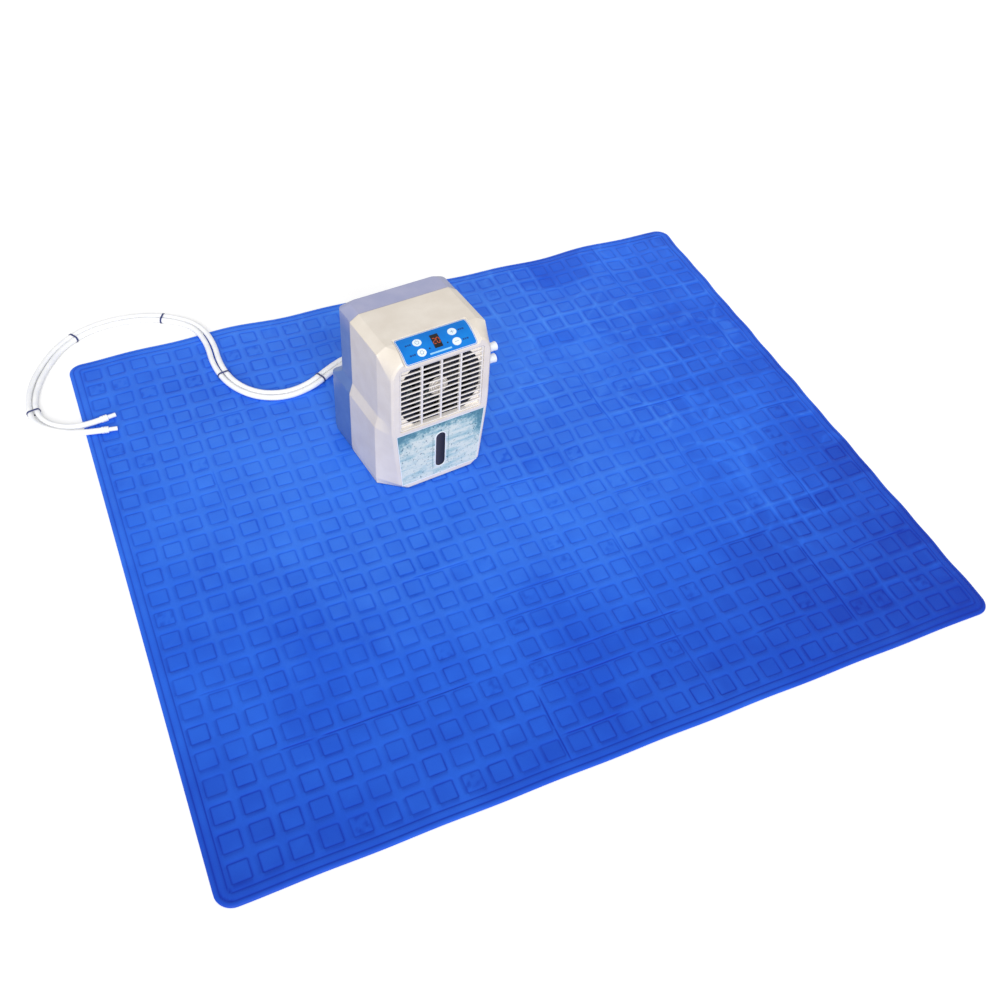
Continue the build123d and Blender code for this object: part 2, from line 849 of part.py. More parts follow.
with BuildPart() as front_grille:
    with BuildSketch(upright(grille_front)):
        with Locations((0, grille_height)):
            RectangleRounded(grille_size[0] - 2 * fit, grille_size[1] - 2 * fit, grille_corner - fit)
            RectangleRounded(
                grille_size[0] - 2 * (fit + grille_rim), grille_size[1] - 2 * (fit + grille_rim),
                grille_corner - grille_rim - fit, mode=Mode.SUBTRACT,
            )
    extrude(amount=grille_front - grille_back)
    with BuildSketch(sideways(-slat_span / 2)):
        with Locations((slat_front + slat_depth / 2, grille_height)):
            with GridLocations(0, slat_pitch, 1, slat_count):
                SlotOverall(slat_depth, slat_thick, rotation=-slat_tilt)
    extrude(amount=slat_span)
    with BuildSketch(upright(slat_front)):
        with Locations((0, grille_height)):
            with GridLocations(rib_pitch, 0, 3, 1):
                Rectangle(rib_width, field_height + grille_rim)
    extrude(amount=slat_front - grille_back)
front_grille.part.label = "front_grille"
export_step(front_grille.part, "parts/front_grille.step")

ear_places = [
    (side * ear_at[0], grille_height + up * ear_at[1]) for side in (-1, 1) for up in (-1, 1)
]


def ears_sketch(depth, inner):
    """The screw ears at both sides, reaching in to the given half width."""
    with BuildSketch(upright(depth)) as ears:
        with Locations(*ear_places):
            Circle(ear_radius)
        with Locations((0, grille_height)):
            with GridLocations(ear_at[0] + inner, 2 * ear_at[1], 2, 2):
                Rectangle(ear_at[0] - inner, 2 * ear_radius)
        with Locations(*ear_places):
            Circle(screw_radius + 0.1, mode=Mode.SUBTRACT)
    return ears.sketch


plate_front = grille_back + fit
plate_size = (grille_size[0] + 2 * (plate_rim + plate_gap), grille_size[1] + 2 * (plate_rim + plate_gap))

with BuildPart() as grille_plate:
    with BuildSketch(upright(plate_front)):
        with Locations((0, grille_height)):
            RectangleRounded(*plate_size, grille_corner + plate_rim + plate_gap)
            with BuildSketch(mode=Mode.PRIVATE) as opening:
                with Locations((0, grille_height)):
                    Circle(opening_radius)
                    Rectangle(2 * opening_half_width, field_height, mode=Mode.INTERSECT)
        add(opening.sketch, mode=Mode.SUBTRACT)
    extrude(amount=-grille_plate_thick)
    extrude(ears_sketch(plate_front, grille_size[0] / 2), amount=-grille_plate_thick)
    with BuildSketch(upright(plate_front)):
        with Locations((0, grille_height)):
            RectangleRounded(*plate_size, grille_corner + plate_rim + plate_gap)
            RectangleRounded(
                grille_size[0] + 2 * plate_gap, grille_size[1] + 2 * plate_gap,
                grille_corner + plate_gap, mode=Mode.SUBTRACT,
            )
    extrude(amount=plate_front - wall - 0.1)
grille_plate.part.label = "grille_plate"
export_step(grille_plate.part, "parts/grille_plate.step")

# Fan: a frame with a tube and four struts, and the rotor on its shaft
fan_face = plate_front + grille_plate_thick + fit
fan_tube_end = fan_face + fan_tube_depth
strut_front = fan_tube_end - strut_thick
bearing_tube_radius = bearing_radius + bearing_tube_wall
fan_size = (grille_size[0] - 2, grille_size[1])

with BuildPart() as fan_frame:
    with BuildSketch(upright(fan_face)):
        with Locations((0, grille_height)):
            RectangleRounded(*fan_size, grille_corner)
            Circle(fan_bore_radius, mode=Mode.SUBTRACT)
    extrude(amount=-fan_flange_thick)
    extrude(ears_sketch(fan_face, fan_size[0] / 2 - 1), amount=-fan_flange_thick)
    with BuildSketch(upright(fan_face)):
        with Locations((0, grille_height)):
            Circle(fan_bore_radius + fan_tube_wall)
            Circle(fan_bore_radius, mode=Mode.SUBTRACT)
    extrude(amount=-fan_tube_depth)
    with BuildSketch(upright(strut_front)):
        with Locations((0, grille_height)):
            Circle(hub_radius)
            for turn in range(strut_count):
                Rectangle(
                    fan_bore_radius + 1, strut_width, rotation=45 + turn * 360 / strut_count,
                    align=(Align.MIN, Align.CENTER),
                )
    extrude(amount=-strut_thick)
    with BuildSketch(upright(bearing_tube_front)):
        with Locations((0, grille_height)):
            Circle(bearing_tube_radius)
    extrude(amount=bearing_tube_front - strut_front)
    with BuildSketch(upright(bearing_tube_front)):
        with Locations((0, grille_height)):
            Circle(bearing_radius)
    extrude(amount=bearing_tube_front - strut_front, mode=Mode.SUBTRACT)
fan_frame.part.label = "fan_frame"
export_step(fan_frame.part, "parts/fan_frame.step")

blade_middle = hub_front + hub_length / 2


def blade_section(radius, shape):
    """A crescent across the blade at one radius, turned by its pitch."""
    chord, pitch = shape
    half = chord / 2
    plane = Plane(
        origin=(unit_x + radius, unit_y + blade_middle, pad_thick + grille_height),
        x_dir=(0, sin(radians(pitch)), cos(radians(pitch))), z_dir=(1, 0, 0),
    )
    with BuildSketch(plane) as section:
        with BuildLine():
            ThreePointArc((-half, 0), (0, chord / 9 + blade_thick), (half, 0))
            ThreePointArc((half, 0), (0, chord / 9), (-half, 0))
        make_face()
    return section.sketch.face()


with BuildPart() as blade:
    loft([blade_section(hub_radius - 4, blade_root), blade_section(blade_radius + 3, blade_tip)], ruled=True)
    with BuildSketch(upright(fan_face)):
        with Locations((0, grille_height)):
            Circle(blade_radius)
    extrude(amount=-fan_tube_depth, mode=Mode.INTERSECT)

fan_axis = Plane(
    origin=(unit_x, unit_y, pad_thick + grille_height), x_dir=(1, 0, 0), z_dir=(0, -1, 0)
)
with BuildPart() as fan_rotor:
    with BuildSketch(upright(hub_front)):
        with Locations((0, grille_height)):
            Circle(hub_radius)
    extrude(amount=-hub_length)
    for turn in range(blade_count):
        add(blade.part.rotate(Axis(fan_axis.origin, (0, 1, 0)), turn * 360 / blade_count))
    with BuildSketch(upright(hub_front + hub_wall)):
        with Locations((0, grille_height)):
            Circle(hub_radius - hub_wall)
            Circle(shaft_radius + 2, mode=Mode.SUBTRACT)
    extrude(amount=-hub_length, mode=Mode.SUBTRACT)
    with BuildSketch(upright(bearing_tube_front - 1)):
        with Locations((0, grille_height)):
            Circle(hub_radius - hub_wall)
    extrude(amount=-hub_length, mode=Mode.SUBTRACT)
    with BuildSketch(upright(hub_front + 1)):
        with Locations((0, grille_height)):
            Circle(shaft_radius)
    extrude(amount=-hub_length, mode=Mode.SUBTRACT)
fan_rotor.part.label = "fan_rotor"
export_step(fan_rotor.part, "parts/fan_rotor.step")

with BuildPart() as fan_hub_cap:
    with BuildSketch(upright(hub_front)):
        with Locations((0, grille_height)):
            Circle(hub_radius)
    extrude(amount=hub_dome)
    chamfer(fan_hub_cap.edges().group_by(Axis.Y)[0], length=hub_dome * 0.6, length2=hub_dome * 2)
fan_hub_cap.part.label = "fan_hub_cap"
export_step(fan_hub_cap.part, "parts/fan_hub_cap.step")

with BuildPart() as fan_shaft:
    with BuildSketch(upright(hub_front + 1)):
        with Locations((0, grille_height)):
            Circle(shaft_radius)
    extrude(amount=hub_front + 1 - strut_front + fit)
fan_shaft.part.label = "fan_shaft"
export_step(fan_shaft.part, "parts/fan_shaft.step")

bearing_fronts = (bearing_tube_front, strut_front - bearing_length - 2)
with BuildPart() as fan_bearings:
    for front in bearing_fronts:
        with BuildSketch(upright(front)):
            with Locations((0, grille_height)):
                Circle(bearing_radius)
                Circle(shaft_radius + bearing_bore_gap, mode=Mode.SUBTRACT)
        extrude(amount=-bearing_length)
fan_bearings.part.label = "fan_bearings"
export_step(fan_bearings.part, "parts/fan_bearings.step")

with BuildPart() as fan_stator:
    with BuildSketch(upright(bearing_tube_front)):
        with Locations((0, grille_height)):
            Circle(stator_radius)
            Circle(bearing_tube_radius, mode=Mode.SUBTRACT)
            with PolarLocations(stator_radius - 2, 6):
                Rectangle(7, 3, mode=Mode.SUBTRACT)
    extrude(amount=-stator_length)
fan_stator.part.label = "fan_stator"
export_step(fan_stator.part, "parts/fan_stator.step")

fan_screw_length = 11
with BuildPart() as fan_screws:
    with BuildSketch(upright(fan_face + fan_flange_thick)):
        with Locations(*ear_places):
            Circle(screw_head[0])
    extrude(amount=-screw_head[1])
    with BuildSketch(upright(fan_face + fan_flange_thick)):
        with Locations(*ear_places):
            Circle(screw_radius)
    extrude(amount=fan_screw_length)
fan_screws.part.label = "fan_screws"
export_step(fan_screws.part, "parts/fan_screws.step")

# Radiator: eight flat tubes across, upright fins, and a water box at each end
radiator_height = radiator_high - radiator_low
radiator_middle = (radiator_high + radiator_low) / 2

with BuildPart() as radiator_core:
    with BuildSketch(upright(radiator_front + 2)):
        with Locations((0, radiator_middle)):
            with GridLocations(0, radiator_height / radiator_tubes, 1, radiator_tubes):
                Rectangle(2 * radiator_half_width, radiator_tube_thick)
    extrude(amount=4 - radiator_depth)
    with BuildSketch(upright(radiator_front)):
        with Locations((0, radiator_middle)):
            with GridLocations(2 * radiator_half_width / (radiator_fins + 1), 0, radiator_fins, 1):
                Rectangle(radiator_fin_thick, radiator_height)
    extrude(amount=-radiator_depth)
radiator_core.part.label = "radiator_core"
export_step(radiator_core.part, "parts/radiator_core.step")

end_tank_middle = radiator_half_width + end_tank_width / 2
drain_tube_at = (-end_tank_middle, radiator_front + radiator_depth / 2)

with BuildPart() as radiator_tanks:
    with BuildSketch(upright(radiator_front - end_tank_over)):
        with Locations((0, radiator_middle)):
            with GridLocations(2 * end_tank_middle, 0, 2, 1):
                Rectangle(end_tank_width, radiator_height + 2 * end_tank_over)
    extrude(amount=-radiator_depth - 2 * end_tank_over)
    chamfer(radiator_tanks.edges().filter_by(Axis.Z), length=2)
    with BuildSketch(upright(radiator_front)):
        with Locations((tube_side, nozzle_heights[1])):
            Circle(tail_radius)
    extrude(amount=end_tank_over + tail_length)
    with BuildSketch(level(radiator_low)):
        with Locations(drain_tube_at):
            Circle(tail_radius)
    extrude(amount=-end_tank_over - tail_length)
radiator_tanks.part.label = "radiator_tanks"
export_step(radiator_tanks.part, "parts/radiator_tanks.step")


# Water tank, with a spout for draining that reaches through the rear shell
def tank_outline(height, shrink):
    with BuildSketch(level(height)) as outline:
        with BuildLine():
            front = tank_front + shrink
            rear = tank_rear - shrink
            front_half = tank_front_half - shrink / 2
            half = tank_half - shrink
            Polyline(
                (front_half, front), (half, tank_corner_depth), (half, rear), (-half, rear),
                (-half, tank_corner_depth), (-front_half, front), close=True,
            )
        make_face()
        fillet(outline.vertices(), radius=6 - min(shrink, 3))
    return outline.sketch.face()


tank_low = foot_height + base_thick
tank_floor = tank_low + tank_wall
spout_end = rear_face + 3
drain_head_front = spout_end + 0.2

with BuildPart() as water_tank:
    extrude(tank_outline(tank_low, 0), amount=tank_top - tank_low)
    with BuildSketch(upright(tank_rear)):
        with Locations((0, drain_height)):
            Circle(drain_radius)
    extrude(amount=tank_rear - spout_end)
    extrude(tank_outline(tank_floor, tank_wall), amount=tank_top, mode=Mode.SUBTRACT)
    with BuildSketch(upright(tank_rear - tank_wall - 1)):
        with Locations((0, drain_height)):
            Circle(drain_bore)
    extrude(amount=tank_rear - tank_wall - 2 - spout_end, mode=Mode.SUBTRACT)
water_tank.part.label = "water_tank"
export_step(water_tank.part, "parts/water_tank.step")

lid_top = tank_top + tank_lid_thick
post_places = [(side * (radiator_half_width - 6), radiator_front + radiator_depth / 2) for side in (-1, 1)]

with BuildPart() as tank_lid:
    extrude(tank_outline(tank_top, -tank_lid_over), amount=tank_lid_thick)
    extrude(tank_outline(tank_top, tank_wall + fit), amount=-4)
    extrude(tank_outline(tank_top, 2 * tank_wall + fit), amount=-4, mode=Mode.SUBTRACT)
    with BuildSketch(level(lid_top)):
        with Locations(*post_places):
            Rectangle(10, radiator_depth)
    extrude(amount=radiator_low - lid_top)
    with BuildSketch(level(tank_top - 5)):
        with Locations(pump_at, drain_tube_at):
            Circle(tube_radius + fit)
        with Locations((0, neck_hole_depth)):
            RectangleRounded(*neck_hole, 6)
    extrude(amount=tank_lid_thick + 10, mode=Mode.SUBTRACT)
tank_lid.part.label = "tank_lid"
export_step(tank_lid.part, "parts/tank_lid.step")

with BuildPart() as tank_panel:
    with BuildSketch(upright(film_recess - film_thick)):
        with BuildLine():
            Polyline(
                (film_low_half - fit, film_low + fit), (film_high_half - fit, film_high - fit),
                (fit - film_high_half, film_high - fit), (fit - film_low_half, film_low + fit), close=True,
            )
        make_face()
        with Locations((0, window_height)):
            SlotOverall(window_size[1], window_size[0], rotation=90, mode=Mode.SUBTRACT)
    extrude(amount=-film_thick)
tank_panel.part.label = "tank_panel"
export_step(tank_panel.part, "parts/tank_panel.step")

with BuildPart() as level_window:
    with BuildSketch(upright(wall)):
        with Locations((0, window_height)):
            SlotOverall(
                window_size[1] + 2 * window_flange, window_size[0] + 2 * window_flange, rotation=90
            )
    extrude(amount=-window_flange)
    with BuildSketch(upright(wall)):
        with Locations((0, window_height)):
            SlotOverall(window_size[1] - 2 * fit, window_size[0] - 2 * fit, rotation=90)
    extrude(amount=wall - film_recess / 2)
level_window.part.label = "level_window"
export_step(level_window.part, "parts/level_window.step")

# Pump in the tank: its axis looks to the front, its outlet points up into the supply tube
pump_top = tank_floor + pump_size[2]
pump_axis = (pump_at[0], tank_floor + pump_size[2] / 2)
pump_front = pump_at[1] - pump_size[1] / 2
pump_body_front = pump_front + pump_cover_thick
impeller_front = pump_body_front + 1
magnet_end = impeller_front + impeller_height + magnet_length
magnet_bore_end = magnet_end + 1.5

with BuildPart() as pump_body:
    with BuildSketch(upright(pump_body_front)):
        with Locations(pump_axis):
            RectangleRounded(pump_size[0], pump_size[2], 5)
    extrude(amount=pump_cover_thick - pump_size[1])
    with BuildSketch(level(pump_top)):
        with Locations((pump_at[0], pump_at[1])):
            Circle(tail_radius)
    extrude(amount=tail_length)
    with BuildSketch(upright(pump_body_front)):
        with Locations(pump_axis):
            Circle(volute_radius)
    extrude(amount=-volute_depth, mode=Mode.SUBTRACT)
    with BuildSketch(upright(pump_body_front)):
        with Locations(pump_axis):
            Circle(magnet_radius + magnet_gap)
    extrude(amount=pump_body_front - magnet_bore_end, mode=Mode.SUBTRACT)
    with BuildSketch(upright(magnet_bore_end - 1)):
        with Locations(pump_axis):
            Circle(pump_pin_radius)
    extrude(amount=-4, mode=Mode.SUBTRACT)
pump_body.part.label = "pump_body"
export_step(pump_body.part, "parts/pump_body.step")

with BuildPart() as pump_cover:
    with BuildSketch(upright(pump_front)):
        with Locations(pump_axis):
            RectangleRounded(pump_size[0], pump_size[2], 5)
            with PolarLocations(8, 6):
                Circle(2.6, mode=Mode.SUBTRACT)
    extrude(amount=-pump_cover_thick)
    with BuildSketch(upright(pump_body_front)):
        with Locations(pump_axis):
            Circle(pump_pin_radius)
    extrude(amount=1.5, mode=Mode.SUBTRACT)
pump_cover.part.label = "pump_cover"
export_step(pump_cover.part, "parts/pump_cover.step")

impeller_disc = 2
with BuildPart() as pump_impeller:
    with BuildSketch(upright(impeller_front)):
        with Locations(pump_axis):
            for turn in range(impeller_vanes):
                Rectangle(
                    impeller_radius - 0.5, 1.6, rotation=turn * 360 / impeller_vanes,
                    align=(Align.MIN, Align.CENTER),
                )
            Circle(4)
    extrude(amount=-impeller_height)
    with BuildSketch(upright(impeller_front + impeller_height - impeller_disc)):
        with Locations(pump_axis):
            Circle(impeller_radius)
    extrude(amount=-impeller_disc)
    with BuildSketch(upright(impeller_front + impeller_height)):
        with Locations(pump_axis):
            Circle(magnet_radius)
    extrude(amount=-magnet_length)
    with BuildSketch(upright(impeller_front - 1)):
        with Locations(pump_axis):
            Circle(pump_pin_radius + pump_pin_gap)
    extrude(amount=-impeller_height - magnet_length - 2, mode=Mode.SUBTRACT)
pump_impeller.part.label = "pump_impeller"
export_step(pump_impeller.part, "parts/pump_impeller.step")

with BuildPart() as pump_pin:
    with BuildSketch(upright(pump_body_front - 1.5)):
        with Locations(pump_axis):
            Circle(pump_pin_radius)
    extrude(amount=pump_body_front - 1.5 - magnet_bore_end - 3)
pump_pin.part.label = "pump_pin"
export_step(pump_pin.part, "parts/pump_pin.step")

# Float on its stem, between two stop rings
stop_thick = 1.5
stem_top = tank_top - 6
with BuildPart() as float_stem:
    with BuildSketch(level(tank_floor)):
        with Locations(float_at):
            Circle(float_radius - 2)
    extrude(amount=2)
    with BuildSketch(level(tank_floor)):
        with Locations(float_at):
            Circle(float_stem_radius)
    extrude(amount=stem_top - tank_floor)
    for height in (float_low - 0.5 - stop_thick, float_low + float_height + float_travel + 0.5):
        with BuildSketch(level(height)):
            with Locations(float_at):
                Circle(float_stem_radius + 2)
        extrude(amount=stop_thick)
float_stem.part.label = "float_stem"
export_step(float_stem.part, "parts/float_stem.step")

with BuildPart() as float_ball:
    with BuildSketch(level(float_low)):
        with Locations(float_at):
            Circle(float_radius)
            Circle(float_stem_radius + float_gap, mode=Mode.SUBTRACT)
    extrude(amount=float_height)
    chamfer(float_ball.edges().filter_by(GeomType.CIRCLE).sort_by(SortBy.RADIUS)[-2:], length=2)
float_ball.part.label = "float_ball"
export_step(float_ball.part, "parts/float_ball.step")

# Tubes inside the unit, each with its bore
tube_cross = (tube_side, tube_cross_depth)
supply_route = [
    (nozzle_neck_end, nozzle_depth, nozzle_heights[0]), (tube_side, nozzle_depth, nozzle_heights[0]),
    (tube_side, nozzle_depth, tube_level), (*tube_cross, tube_level),
    (pump_at[0], tube_cross_depth, tube_level), (*pump_at, tube_level), (*pump_at, pump_top),
]
supply_bends = [tube_tight_bend, tube_bend, tube_bend, tube_bend, tube_tight_bend]
return_route = [
    (nozzle_neck_end, nozzle_depth, nozzle_heights[1]), (tube_side, nozzle_depth, nozzle_heights[1]),
    (tube_side, radiator_front - end_tank_over, nozzle_heights[1]),
]
drain_route = [(*drain_tube_at, radiator_low - end_tank_over), (*drain_tube_at, tank_top - 10)]


def in_unit(points):
    return [(unit_x + x, unit_y + depth, pad_thick + height) for x, depth, height in points]


def tube_section(path):
    with BuildSketch(Plane(origin=path @ 0, z_dir=path % 0)) as section:
        Circle(tube_radius)
        Circle(tube_bore, mode=Mode.SUBTRACT)
    return section.sketch


with BuildPart() as supply_tube:
    with BuildLine() as supply_path:
        FilletPolyline(*in_unit(supply_route), radius=supply_bends)
    sweep(tube_section(supply_path.line), path=supply_path.line)
supply_tube.part.label = "supply_tube"
export_step(supply_tube.part, "parts/supply_tube.step")

with BuildPart() as return_tube:
    with BuildLine() as return_path:
        FilletPolyline(*in_unit(return_route), radius=tube_tight_bend)
    sweep(tube_section(return_path.line), path=return_path.line)
return_tube.part.label = "return_tube"
export_step(return_tube.part, "parts/return_tube.step")

with BuildPart() as drain_tube:
    with BuildLine() as drain_path:
        Line(*in_unit(drain_route))
    sweep(tube_section(drain_path.line), path=drain_path.line)
drain_tube.part.label = "drain_tube"
export_step(drain_tube.part, "parts/drain_tube.step")

# Clips that carry the supply tube over the tank's lid
clip_places = [50, 0, -30]
with BuildPart() as tube_clips:
    for across in clip_places:
        with BuildSketch(sideways(across - clip_width / 2)):
            with Locations((tube_cross_depth, tube_level)):
                Circle(tube_radius + clip_wall)
            with Locations((tube_cross_depth, (lid_top + tube_level) / 2)):
                Rectangle(2 * clip_wall + 2, tube_level - lid_top)
            with Locations((tube_cross_depth, lid_top + clip_wall / 2)):
                Rectangle(clip_foot, clip_wall)
            with Locations((tube_cross_depth, tube_level)):
                Circle(tube_radius, mode=Mode.SUBTRACT)
        extrude(amount=clip_width)
tube_clips.part.label = "tube_clips"
export_step(tube_clips.part, "parts/tube_clips.step")


# Nozzles on the right side, held by nuts inside the shell
def build_nozzle(height):
    """A round collar with a rim outside the seat, a neck through it and a tail for the tube."""
    with BuildPart() as nozzle:
        for start, end, radius in (
            (body_upper_half, nozzle_reach, nozzle_radius),
            (nozzle_reach - nozzle_rim[1], nozzle_reach, nozzle_rim[0]),
            (nozzle_neck_end, body_upper_half, nozzle_neck_radius),
            (nozzle_neck_end - tail_length, nozzle_neck_end, tail_radius),
        ):
            with BuildSketch(sideways(start)):
                with Locations((nozzle_depth, height)):
                    Circle(radius)
            extrude(amount=end - start)
        with BuildSketch(sideways(nozzle_reach)):
            with Locations((nozzle_depth, height)):
                Circle(nozzle_bore_radius)
        extrude(amount=-nozzle_bore_length, mode=Mode.SUBTRACT)
        chamfer(nozzle.edges().group_by(Axis.X)[-1].sort_by(SortBy.RADIUS)[-1], length=0.8)
    return nozzle


outlet_nozzle = build_nozzle(nozzle_heights[0])
outlet_nozzle.part.label = "outlet_nozzle"
export_step(outlet_nozzle.part, "parts/outlet_nozzle.step")

return_nozzle = build_nozzle(nozzle_heights[1])
return_nozzle.part.label = "return_nozzle"
export_step(return_nozzle.part, "parts/return_nozzle.step")

with BuildPart() as nozzle_nuts:
    with BuildSketch(sideways(front_upper_half - wall)):
        with Locations(*((nozzle_depth, height) for height in nozzle_heights)):
            RegularPolygon(nut_radius, 6)
            Circle(nozzle_neck_radius, mode=Mode.SUBTRACT)
    extrude(amount=-nut_thick)
nozzle_nuts.part.label = "nozzle_nuts"
export_step(nozzle_nuts.part, "parts/nozzle_nuts.step")


# Control panel: label, keys with their switches, display, lights and board
def build_ramp_round(lift):
    """A round bar whose top is the ramp's surface, raised by the given amount."""
    with BuildPart() as ramp_round:
        with BuildSketch(sideways(-scoop_half)):
            with Locations(ramp_centre):
                Circle(ramp_radius + lift)
        extrude(amount=2 * scoop_half)
    return ramp_round


label_round = build_ramp_round(label_thick)
key_round = build_ramp_round(key_proud)

with BuildPart() as control_label:
    with BuildSketch(sideways(-label_width / 2)):
        with Locations(ramp_centre):
            Circle(ramp_radius + label_thick)
            Circle(ramp_radius, mode=Mode.SUBTRACT)
    extrude(amount=label_width)
    with BuildSketch(key_plane):
        RectangleRounded(label_width, ramp_chord - 2 * label_margin, label_corner)
    extrude(amount=20, both=True, mode=Mode.INTERSECT)
    add(panel_holes.part, mode=Mode.SUBTRACT)
control_label.part.label = "control_label"
export_step(control_label.part, "parts/control_label.step")


def build_button(across, row):
    with BuildPart() as button:
        with BuildSketch(key_plane.offset(key_flange_top)):
            with Locations((across, row)):
                Ellipse(key_size[0] / 2, key_size[1] / 2)
        extrude(amount=12)
        add(key_round.part, mode=Mode.INTERSECT)
        with BuildSketch(key_plane.offset(key_flange_top)):
            with Locations((across, row)):
                RectangleRounded(*key_flange_size, 4)
        extrude(amount=-key_flange_thick)
        with BuildSketch(key_plane.offset(key_flange_top)):
            with Locations((across, row)):
                Circle(key_stem_radius)
        extrude(amount=key_stem_low - key_flange_top)
    return button


key_places = [(side * key_columns / 2, row) for row in key_rows for side in (-1, 1)]
for number, (across, row) in enumerate(key_places, start=1):
    button = build_button(across, row)
    button.part.label = f"button_{number}"
    export_step(button.part, f"parts/button_{number}.step")

with BuildPart() as key_switches:
    with BuildSketch(key_plane.offset(board_top)):
        with Locations(*key_places):
            Rectangle(*switch_body[:2])
    extrude(amount=switch_body[2])
    with BuildSketch(key_plane.offset(board_top)):
        with Locations(*key_places):
            Circle(switch_plunger[0])
    extrude(amount=switch_body[2] + switch_plunger[1])
key_switches.part.label = "key_switches"
export_step(key_switches.part, "parts/key_switches.step")

lens_flange_low = -1
with BuildPart() as display_lens:
    with BuildSketch(key_plane.offset(lens_flange_low)):
        with Locations((0, display_at)):
            RectangleRounded(*display_size, 1)
    extrude(amount=12)
    add(label_round.part, mode=Mode.INTERSECT)
    with BuildSketch(key_plane.offset(lens_flange_low)):
        with Locations((0, display_at)):
            RectangleRounded(display_size[0] + 4, display_size[1] + 4, 2)
    extrude(amount=1)
display_lens.part.label = "display_lens"
export_step(display_lens.part, "parts/display_lens.step")

with BuildPart() as display_module:
    with BuildSketch(key_plane.offset(board_top)):
        with Locations((0, display_at)):
            Rectangle(display_size[0] - 2, display_size[1] - 2)
    extrude(amount=lens_flange_low - fit - board_top)
display_module.part.label = "display_module"
export_step(display_module.part, "parts/display_module.step")

with BuildPart() as status_lights:
    with BuildSketch(key_plane.offset(board_top)):
        with Locations((-light_columns / 2, light_row), (light_columns / 2, light_row)):
            Circle(light_radius)
    extrude(amount=30)
    add(label_round.part, mode=Mode.INTERSECT)
status_lights.part.label = "status_lights"
export_step(status_lights.part, "parts/status_lights.step")

with BuildPart() as control_board:
    with BuildSketch(key_plane.offset(board_top)):
        Rectangle(*board_size)
        with GridLocations(*post_spacing, 2, 2):
            Circle(screw_radius + 0.1, mode=Mode.SUBTRACT)
    extrude(amount=-board_thick)
control_board.part.label = "control_board"
export_step(control_board.part, "parts/control_board.step")

board_screw_length = 9
with BuildPart() as board_screws:
    with BuildSketch(key_plane.offset(board_top - board_thick)):
        with GridLocations(*post_spacing, 2, 2):
            Circle(screw_head[0])
    extrude(amount=-screw_head[1])
    with BuildSketch(key_plane.offset(board_top - board_thick)):
        with GridLocations(*post_spacing, 2, 2):
            Circle(screw_radius)
    extrude(amount=board_screw_length)
board_screws.part.label = "board_screws"
export_step(board_screws.part, "parts/board_screws.step")

# Filler on the shoulder: a slanting neck down to the tank's lid, and its cap
with BuildPart() as filler_neck:
    with BuildSketch(shoulder_plane):
        Circle(neck_radius)
        Circle(neck_radius - neck_wall, mode=Mode.SUBTRACT)
    extrude(amount=-80)
    split(bisect_by=level(lid_top))
filler_neck.part.label = "filler_neck"
export_step(filler_neck.part, "parts/filler_neck.step")

with BuildPart() as filler_cap:
    with BuildSketch(shoulder_plane.offset(0.2)):
        Circle(cap_radius)
    extrude(amount=cap_thick)
    chamfer(filler_cap.edges().filter_by(GeomType.CIRCLE).sort_by(Axis.Z)[-1], length=1)
    with BuildSketch(shoulder_plane.offset(0.2)):
        Circle(neck_radius - neck_wall - fit)
    extrude(amount=-cap_plug_length)
filler_cap.part.label = "filler_cap"
export_step(filler_cap.part, "parts/filler_cap.step")

with BuildPart() as drain_plug:
    with BuildSketch(upright(drain_head_front)):
        with Locations((0, drain_height)):
            Circle(drain_plug_head[0])
    extrude(amount=-drain_plug_head[1])
    chamfer(drain_plug.edges().group_by(Axis.Y)[-1], length=0.8)
    with BuildSketch(upright(drain_head_front)):
        with Locations((0, drain_height)):
            Circle(drain_bore - fit)
    extrude(amount=drain_plug_length)
drain_plug.part.label = "drain_plug"
export_step(drain_plug.part, "parts/drain_plug.step")

# Rear intake: a slotted panel with a rim that reaches in, and the filter inside the rim
intake_inner = (intake_opening[0] - 2 * fit, intake_opening[1] - 2 * fit)
slot_length = intake_inner[0] / 2 - 3 * intake_rim
intake_slots = int((intake_inner[1] - 2 * intake_rim) / (intake_slot_height + intake_web))
intake_slot_pitch = (intake_inner[1] - 2 * intake_rim) / intake_slots

with BuildPart() as rear_grille:
    with BuildSketch(upright(intake_face)):
        with Locations((0, intake_height)):
            RectangleRounded(*intake_size, 8)
    extrude(amount=-intake_flange_thick)
    with BuildSketch(upright(intake_face)):
        with Locations((0, intake_height)):
            Rectangle(*intake_inner)
            Rectangle(
                intake_inner[0] - 2 * intake_rim, intake_inner[1] - 2 * intake_rim, mode=Mode.SUBTRACT
            )
    extrude(amount=intake_rim_depth)
    with BuildSketch(upright(intake_face - 1)):
        with Locations((0, intake_height)):
            with GridLocations(slot_length + 2 * intake_rim, intake_slot_pitch, 2, intake_slots):
                SlotOverall(slot_length, intake_slot_height)
    extrude(amount=-intake_flange_thick - 2, mode=Mode.SUBTRACT)
rear_grille.part.label = "rear_grille"
export_step(rear_grille.part, "parts/rear_grille.step")

with BuildPart() as dust_filter:
    with BuildSketch(upright(intake_face)):
        with Locations((0, intake_height)):
            Rectangle(intake_inner[0] - 2 * intake_rim, intake_inner[1] - 2 * intake_rim)
    extrude(amount=filter_thick)
dust_filter.part.label = "dust_filter"
export_step(dust_filter.part, "parts/dust_filter.step")

